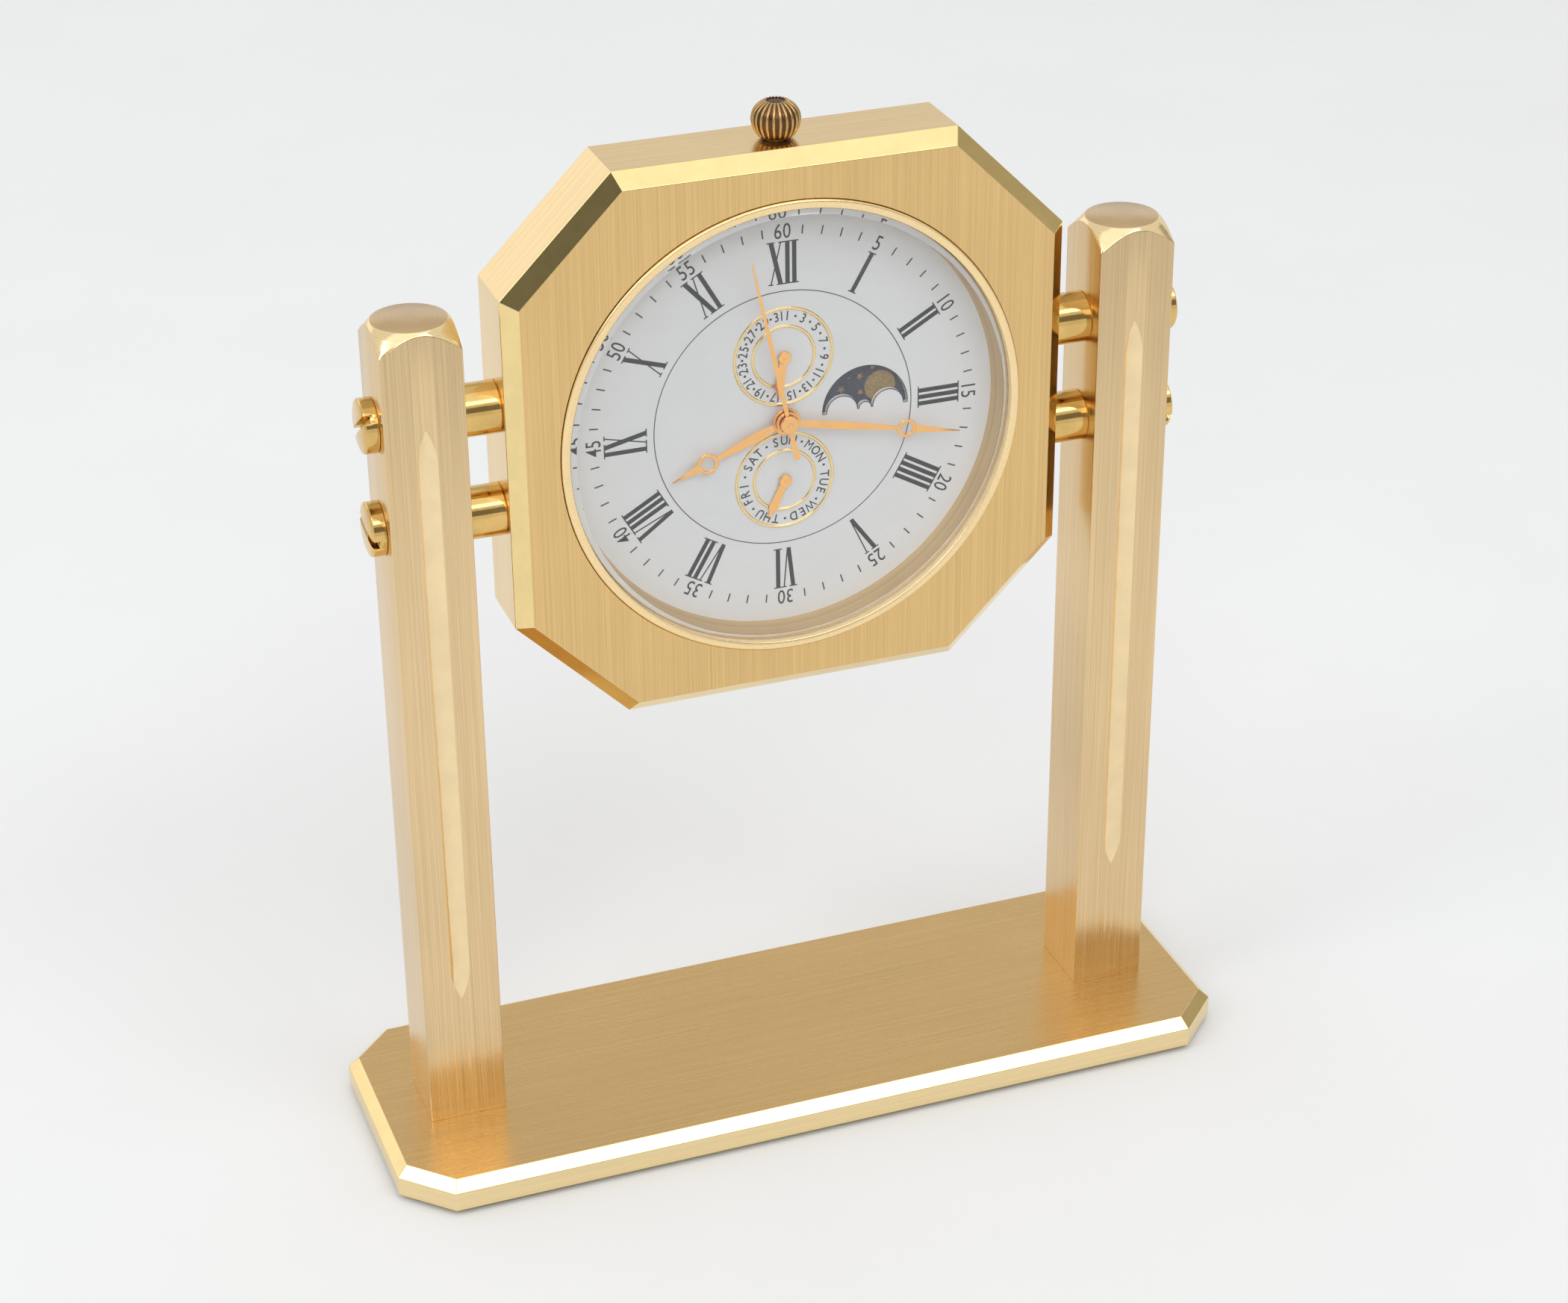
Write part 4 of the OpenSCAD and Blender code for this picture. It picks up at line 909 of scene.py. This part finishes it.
def build_dial_marks():
    """Minute ticks, dots and the thin printed circle."""
    tick_half, tick_low, tick_high = 0.07, 19.15, 20.05
    dot_r = 0.13
    circle_inner, circle_outer = 13.385, 13.475
    bm = bmesh.new()
    add_prism(bm, bar(-tick_half, tick_half, tick_low, tick_high), 0, INK, face_matrix(0, -CASE_Z, 0))
    ticks = make_object("minute_ticks", bm, [print_ink])
    repeated(ticks, 60, print_ink, turn=(0, 6, 0), place=(0, -DIAL_FRONT, CASE_Z), leave_out=5)
    settle(ticks, "frame", "dial_white")
    for name, offset, radius, count, first, step in (
            ("date_dots", SUB_OFFSET, DATE_R, 15, 1.5 * 360 / 31, 2 * 360 / 31),
            ("day_dots", -SUB_OFFSET, DAY_R, 7, 360 / 14, 360 / 7)):
        bm = bmesh.new()
        x, y = on_circle((0, 0), radius, first)
        add_prism(bm, round_outline(x, y, dot_r, 12), 0, INK, face_matrix(0, -CASE_Z, 0))
        dots = make_object(name, bm, [print_ink])
        repeated(dots, count, print_ink, turn=(0, step, 0), place=(0, -DIAL_FRONT, CASE_Z + offset))
        settle(dots, "frame", "dial_white")
    bm = bmesh.new()
    add_lathe(bm, [(circle_inner, 0), (circle_outer, 0), (circle_outer, INK), (circle_inner, INK)],
              face_matrix(0, 0, DIAL_FRONT), WIDE_ROUND, closed=True)
    mend_normals(bm)
    settle(make_object("inner_circle", bm, [print_ink]), "frame", "dial_white")


def build_window_edge():
    """The dark edge of the moon window, drawn on the dial round the cut-out."""
    arch_r, hump_x, hump_r, small_r = 4.45, 2.43, 1.68, 0.72
    wide = 0.1

    def arc(middle, radius, first, last, steps):
        turns = [math.radians(first + (last - first) * i / steps) for i in range(steps + 1)]
        return [(middle + radius * math.cos(t), radius * math.sin(t)) for t in turns]

    path = arc(0, arch_r, 180, 0, 60) + arc(hump_x, hump_r, 0, 180, 30) + arc(0, small_r, 0, 180, 16)
    path += arc(-hump_x, hump_r, 0, 180, 30)
    place = face_matrix(*MOON, DIAL_FRONT)
    bm = bmesh.new()
    rings = []
    for side, high in ((0.0, 0.0), (wide, 0.0), (wide, INK), (0.0, INK)):
        ring = []
        for i, (x, y) in enumerate(path):
            (px, py), (qx, qy) = path[i - 1], path[(i + 1) % len(path)]
            run = math.hypot(qx - px, qy - py)
            point = (x - (qy - py) / run * side, y + (qx - px) / run * side, high)
            ring.append(bm.verts.new(place @ Vector(point)))
        rings.append(ring)
    for low, high in zip(rings, rings[1:] + rings[:1]):
        bridge(bm, low, high)
    mend_normals(bm)
    settle(make_object("moon_window_edge", bm, [print_ink]), "frame", "dial_white")


def build_dial_rings():
    """The thin gold rings inside and outside the dates and the weekdays."""
    bm = bmesh.new()
    high, edge = -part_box("calendar_rings")[0].y / MM - DIAL_FRONT, 0.09
    for offset in (SUB_OFFSET, -SUB_OFFSET):
        for radius in SUB_RING_RADII:
            inner = radius - SUB_RING_W
            profile = [(inner, 0), (radius, 0), (radius, high - edge), (radius - edge, high),
                       (inner + edge, high), (inner, high - edge)]
            add_lathe(bm, profile, face_matrix(0, offset, DIAL_FRONT), 120, closed=True)
    mend_normals(bm)
    settle(make_object("dial_rings", bm, [gold_line], 20), "frame", "gold_plate", "calendar_rings")


# the stars of one half of the disc at rest: dial place and size
STARS = ((6.17, 1.91, 0.46), (8.14, 3.04, 0.42), (8.22, 1.34, 0.38), (9.48, 3.8, 0.28), (7.0, 3.0, 0.12),
         (7.3, 0.75, 0.12))


def star_outline(x, y, radius):
    """A star with five points."""
    return [on_circle((x, y), radius if k % 2 else radius * 0.42, 36 * k) for k in range(10)]


def build_moon_picture():
    """Two moons and two groups of stars, half a turn apart, on the disc."""
    moon_r, moon_out, first_moon = 1.63, 2.6, 42
    lift = -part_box("moon_disc")[0].y / MM
    bm = bmesh.new()
    for half in (0, 180):
        x, y = on_circle((0, 0), moon_out, first_moon + half)
        add_prism(bm, round_outline(x, y, moon_r, 48), 0, INK, face_matrix(*MOON, lift))
    for half in (0, 180):
        place = face_matrix(*MOON, lift, half)
        for x, y, size in STARS:
            add_prism(bm, star_outline(x - MOON[0], y - MOON[1], size), 0, INK * 1.2, place)
    mend_normals(bm)
    settle(make_object("moon_picture", bm, [moon_gold]), "moon_arbor", "moon_blue")


# ---- hands


def add_blade(bm, stations, place, ridge):
    """A blade with a ridge down its middle; stations are (distance, half width)."""
    side, full_ridge_at = 0.04, 0.2
    rows = []
    for along, half in stations:
        top = ridge * min(1.0, half / full_ridge_at + 0.25)
        rows.append([bm.verts.new(place @ Vector(p)) for p in (
            (-half, along, 0), (half, along, 0), (half, along, side), (0, along, side + top),
            (-half, along, side))])
    for low, high in zip(rows, rows[1:]):
        bridge(bm, low, high)
    bm.faces.new(rows[0][::-1])
    bm.faces.new(rows[-1])


def eased(start, end, w_start, w_end, power, steps=8):
    """Stations of a blade that narrows along a curve."""
    return [(start + (end - start) * i / steps, w_start + (w_end - w_start) * (i / steps) ** power)
            for i in range(steps + 1)]


def leaf(start, end, widths, peak=0.33, steps=12):
    """Stations of a leaf: it swells from its first width to its widest and narrows to its last."""
    stations = []
    for i in range(steps + 1):
        t = i / steps
        if t < peak:
            w = widths[0] + (widths[1] - widths[0]) * math.sin(math.pi / 2 * t / peak)
        else:
            u = (t - peak) / (1 - peak)
            w = widths[1] + (widths[2] - widths[1]) * (1 - math.cos(math.pi / 2 * u) ** 1.2)
        stations.append((start + (end - start) * t, w / 2))
    return stations


def build_big_hand(name, body, node, angle, length, ring_at, ring_out, hub_r, widths, bore):
    """A leaf from the hub to an open ring, and a thin point beyond it."""
    ridge, lap, ring_w, edge = 0.05, 0.14, 0.36, 0.05
    ring_side, ring_top = 0.08, 0.11
    hub_side, hub_top, hub_dish, pipe_top = 0.22, 0.28, 0.2, 0.24
    lift = -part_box(node)[1].y / MM
    place = face_matrix(0, 0, lift, angle)
    bm = bmesh.new()
    add_blade(bm, leaf(hub_r - 0.15, ring_at - ring_out + lap, widths), place, ridge)
    add_blade(bm, eased(ring_at + ring_out - lap, length, widths[2], 0.05, 0.85), place, ridge)
    inner = ring_out - ring_w
    add_lathe(bm, [(inner, 0), (ring_out, 0), (ring_out, ring_side), (ring_out - edge, ring_top),
                   (inner + edge, ring_top), (inner, ring_side)],
              place @ Matrix.Translation((0, ring_at, 0)), 48, closed=True)
    add_lathe(bm, [(bore, 0), (hub_r, 0), (hub_r, hub_side), (hub_r - edge, hub_top),
                   (hub_r - 0.2, hub_top), (hub_r - 0.25, hub_dish), (bore + 0.1, hub_dish),
                   (bore, pipe_top)], place, 64, closed=True)
    mend_normals(bm)
    settle(make_object(name, bm, [hand_gold], 25), body, "hand_plate", node)


def build_seconds():
    """A long thin leaf with a short tail and a hub with a riveted pin."""
    lift = -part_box("seconds_hand")[1].y / MM
    place = face_matrix(0, 0, lift, SECONDS_ANGLE)
    bm = bmesh.new()
    add_blade(bm, leaf(0.6, 17.6, (0.38, 0.46, 0.16), 0.25), place, 0.03)
    add_blade(bm, [(-4.0, 0.27), (-3.9, 0.3), (-2.4, 0.26), (-0.6, 0.19)], place, 0.03)
    add_lathe(bm, [(0, 0), (0.87, 0), (0.92, 0.05), (0.92, 0.24), (0.87, 0.29), (0.24, 0.3), (0.2, 0.36),
                   (0.12, 0.36), (0.1, 0.3), (0, 0.3)], place, 48)
    mend_normals(bm)
    settle(make_object("seconds_pointer", bm, [hand_gold], 25), "seconds_arbor", "hand_plate", "seconds_hand")


def build_small_hand(name, body, node, offset, angle):
    """A bar that widens outwards and ends in a small point."""
    lift = -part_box(node)[1].y / MM
    place = face_matrix(0, offset, lift, angle)
    bm = bmesh.new()
    add_blade(bm, [(0.45, 0.36), (2.0, 0.44), (3.05, 0.5), (3.25, 0.44), (3.42, 0.27), (4.1, 0.13)], place,
              0.03)
    add_lathe(bm, [(0, 0), (0.62, 0), (0.65, 0.04), (0.65, 0.26), (0.61, 0.3), (0.2, 0.3), (0.17, 0.33),
                   (0.1, 0.33), (0.08, 0.3), (0, 0.3)], place, 40)
    mend_normals(bm)
    settle(make_object(name, bm, [hand_gold], 25), body, "hand_plate", node)


# ---- crown


def build_crown():
    """A barrel with raised ribs on a dark core; its skirt hides the tube it sits on and is painted shade
    under the crown.
    """
    height = crown_high.z - crown_low.z
    skirt, neck_high, neck_r = -0.13, 0.06, 1.4
    wide, top_r, foot_r = 2.4, 1.17, 1.72
    top_sunk = 0.08
    rib_high, rib_half, ribs_round = 0.15, 0.155, 22
    rows, rib_sides = 24, 10

    def barrel(v):
        """The core's radius at this share of the height."""
        end_r = foot_r if v < 0.5 else top_r
        return wide * math.sqrt(1 - (1 - (end_r / wide) ** 2) * (2 * v - 1) ** 2) - rib_high

    def level(v):
        return neck_high + (height - neck_high) * v

    place = Matrix.Translation(Vector((0, 0, crown_low.z)) * MM) @ Matrix.Scale(MM, 4)
    # the core's dark brown is patina with painted shade between the ribs, and painted shade on the neck and
    # skirt
    core = [(0, skirt), (neck_r, skirt), (neck_r, neck_high)]
    core += [(barrel(i / rows), level(i / rows)) for i in range(rows)]
    core += [(barrel(1), height - top_sunk), (0, height - top_sunk)]
    bm = bmesh.new()
    add_lathe(bm, core, place)
    mend_normals(bm)
    settle(make_object("crown_core", bm, [crown_patina_and_painted_shade], 35), "stem", "dark_brass", "crown")
    bm = bmesh.new()
    loops = []
    for i in range(rows + 1):
        v = i / rows
        thin = 0.5 + 0.5 * (barrel(v) + rib_high) / wide
        turns = [math.tau * k / rib_sides for k in range(rib_sides)]
        loops.append(loop(bm, [(barrel(v) + rib_high * math.cos(t), rib_half * thin * math.sin(t), level(v))
                               for t in turns]))
    for low, high in zip(loops, loops[1:]):
        bridge(bm, low, high)
    bm.faces.new(loops[0][::-1])
    bm.faces.new(loops[-1])
    mend_normals(bm)
    ribs = make_object("crown_ribs", bm, [crown_brass], 60)
    repeated(ribs, ribs_round, crown_brass, turn=(0, 0, 360 / ribs_round), place=(0, 0, crown_low.z))
    settle(ribs, "stem", "dark_brass")


build_base()
build_post("left_column", -POST_X, "left_post")
build_post("right_column", POST_X, "right_post")
build_spacers("left_tubes", -1, "left_spacers")
build_spacers("right_tubes", 1, "right_spacers")
build_case_screws("left_screws", -1, "left_case_screws", (-55, 78))
build_case_screws("right_screws", 1, "right_case_screws", (25, 110))
build_case()
build_bezel()
build_glass()
build_slope()
build_dial_print()
build_dial_marks()
build_dial_rings()
build_window_edge()
build_moon_picture()
build_big_hand("hour_pointer", "hour_pipe", "hour_hand", HOUR_ANGLE, 12.75, 8.8, 1.1, 1.4,
               (0.7, 1.0, 0.46), 0.9)
build_big_hand("minute_pointer", "minute_arbor", "minute_hand", MINUTE_ANGLE, 18.7, 12.85, 0.98, 1.2,
               (0.6, 0.84, 0.44), 0.68)
build_seconds()
build_small_hand("date_pointer", "date_arbor", "date_hand", SUB_OFFSET, DATE_ANGLE)
build_small_hand("day_pointer", "day_arbor", "day_hand", -SUB_OFFSET, DAY_ANGLE)
build_crown()

# ---- floor, lamps and camera


def studio():
    """A pale floor under an even white sky."""
    reach, sky = 4, 0.83
    bm = bmesh.new()
    bm.faces.new([bm.verts.new((x, y, 0)) for x, y in bar(-reach, reach, -reach, reach)])
    make_object("floor", bm, [plain("white paper", (0.872, 0.882, 0.895), 0.9, 0.0, 0.02, 0.01,
                                             0.0)])
    world = bpy.data.worlds.new("studio")
    bpy.context.scene.world = world
    world.use_nodes = True
    back = world.node_tree.nodes["Background"]
    back.inputs["Color"].default_value = (1, 1, 1, 1)
    back.inputs["Strength"].default_value = sky


def lamp(name, place, aim, size, power):
    """An area lamp, unseen by the camera."""
    data = bpy.data.lights.new(name, "AREA")
    data.shape = "RECTANGLE"
    data.size, data.size_y = size
    data.energy = power
    obj = bpy.data.objects.new(name, data)
    obj.location = place
    obj.rotation_euler = (Vector(aim) - Vector(place)).to_track_quat("-Z", "Y").to_euler()
    obj.visible_camera = False
    bpy.context.scene.collection.objects.link(obj)


def card(name, place, aim, size, tone):
    """A card beside the set: it is seen only in the metal."""
    bm = bmesh.new()
    w, h = size[0] / 2, size[1] / 2
    turn = (Vector(aim) - Vector(place)).to_track_quat("-Z", "Y").to_matrix().to_4x4()
    stand = Matrix.Translation(place) @ turn
    bm.faces.new([bm.verts.new(stand @ Vector((x, y, 0))) for x, y in bar(-w, w, -h, h)])
    paint = plain(name, tone, 0.9, grain=0.02, contrast=0.1, bump=0.0)
    obj = make_object(name.replace(" ", "_"), bm, [paint])
    obj.visible_camera = False


def set_camera():
    """The photo's camera, from the fit to the clock's corners."""
    stand = (-103.43, -285.45, 212.67)
    yaw, pitch, roll = 0.34866, -0.49292, -0.009267
    focal, frame_width = 4513.1, 2100  # pixels of the photo
    ahead = Vector((math.sin(yaw) * math.cos(pitch), math.cos(yaw) * math.cos(pitch), math.sin(pitch)))
    right = Vector((math.cos(yaw), -math.sin(yaw), 0))
    up = right.cross(ahead)
    tilted = right * math.cos(roll) + up * math.sin(roll)
    upright = up * math.cos(roll) - right * math.sin(roll)
    data = bpy.data.cameras.new("camera")
    data.sensor_width = 36
    data.lens = focal / frame_width * data.sensor_width
    obj = bpy.data.objects.new("camera", data)
    turn = Matrix((tilted, upright, -ahead)).transposed().to_4x4()
    obj.matrix_world = Matrix.Translation(Vector(stand) * MM) @ turn
    bpy.context.scene.collection.objects.link(obj)
    bpy.context.scene.camera = obj


studio()
# name, place, aim and size in metres, then watts or tone
lamp("front softbox", (0.285, -0.585, 0.79), (0, -0.015, 0), (0.44, 0.21), 0.9)
lamp("front diffuser", (-0.28, -0.95, 0.85), (0, 0, 0.07), (0.7, 0.5), 1.6)
lamp("overhead diffuser", (-0.2, -0.3, 1.05), (-0.2, -0.3, 0), (1.5, 0.75), 1.45)
lamp("side softbox", (-0.78, -0.14, 0.68), (-0.04, -0.01, 0), (0.36, 0.36), 1.1)
lamp("back softbox", (-0.43, 1.0, 0.38), (0, 0, 0.08), (0.9, 0.5), 0.42)
card("dark card", (-0.66, -0.52, 0.52), (-0.02, 0, 0.095), (0.46, 0.5), (0.17, 0.17, 0.145))
card("low front card", (0.33, -0.95, 0.42), (0, 0, 0.2), (1.1, 0.42), (0.25, 0.24, 0.22))
card("back card", (0.4, 1.0, 0.84), (0, 0, 0.05), (1.3, 0.5), (0.78, 0.73, 0.62))
card("right card", (0.8, 0.02, 0.22), (0, 0, 0.1), (0.7, 0.34), (0.5, 0.47, 0.4))
set_camera()
bpy.context.scene.view_settings.view_transform = "Standard"
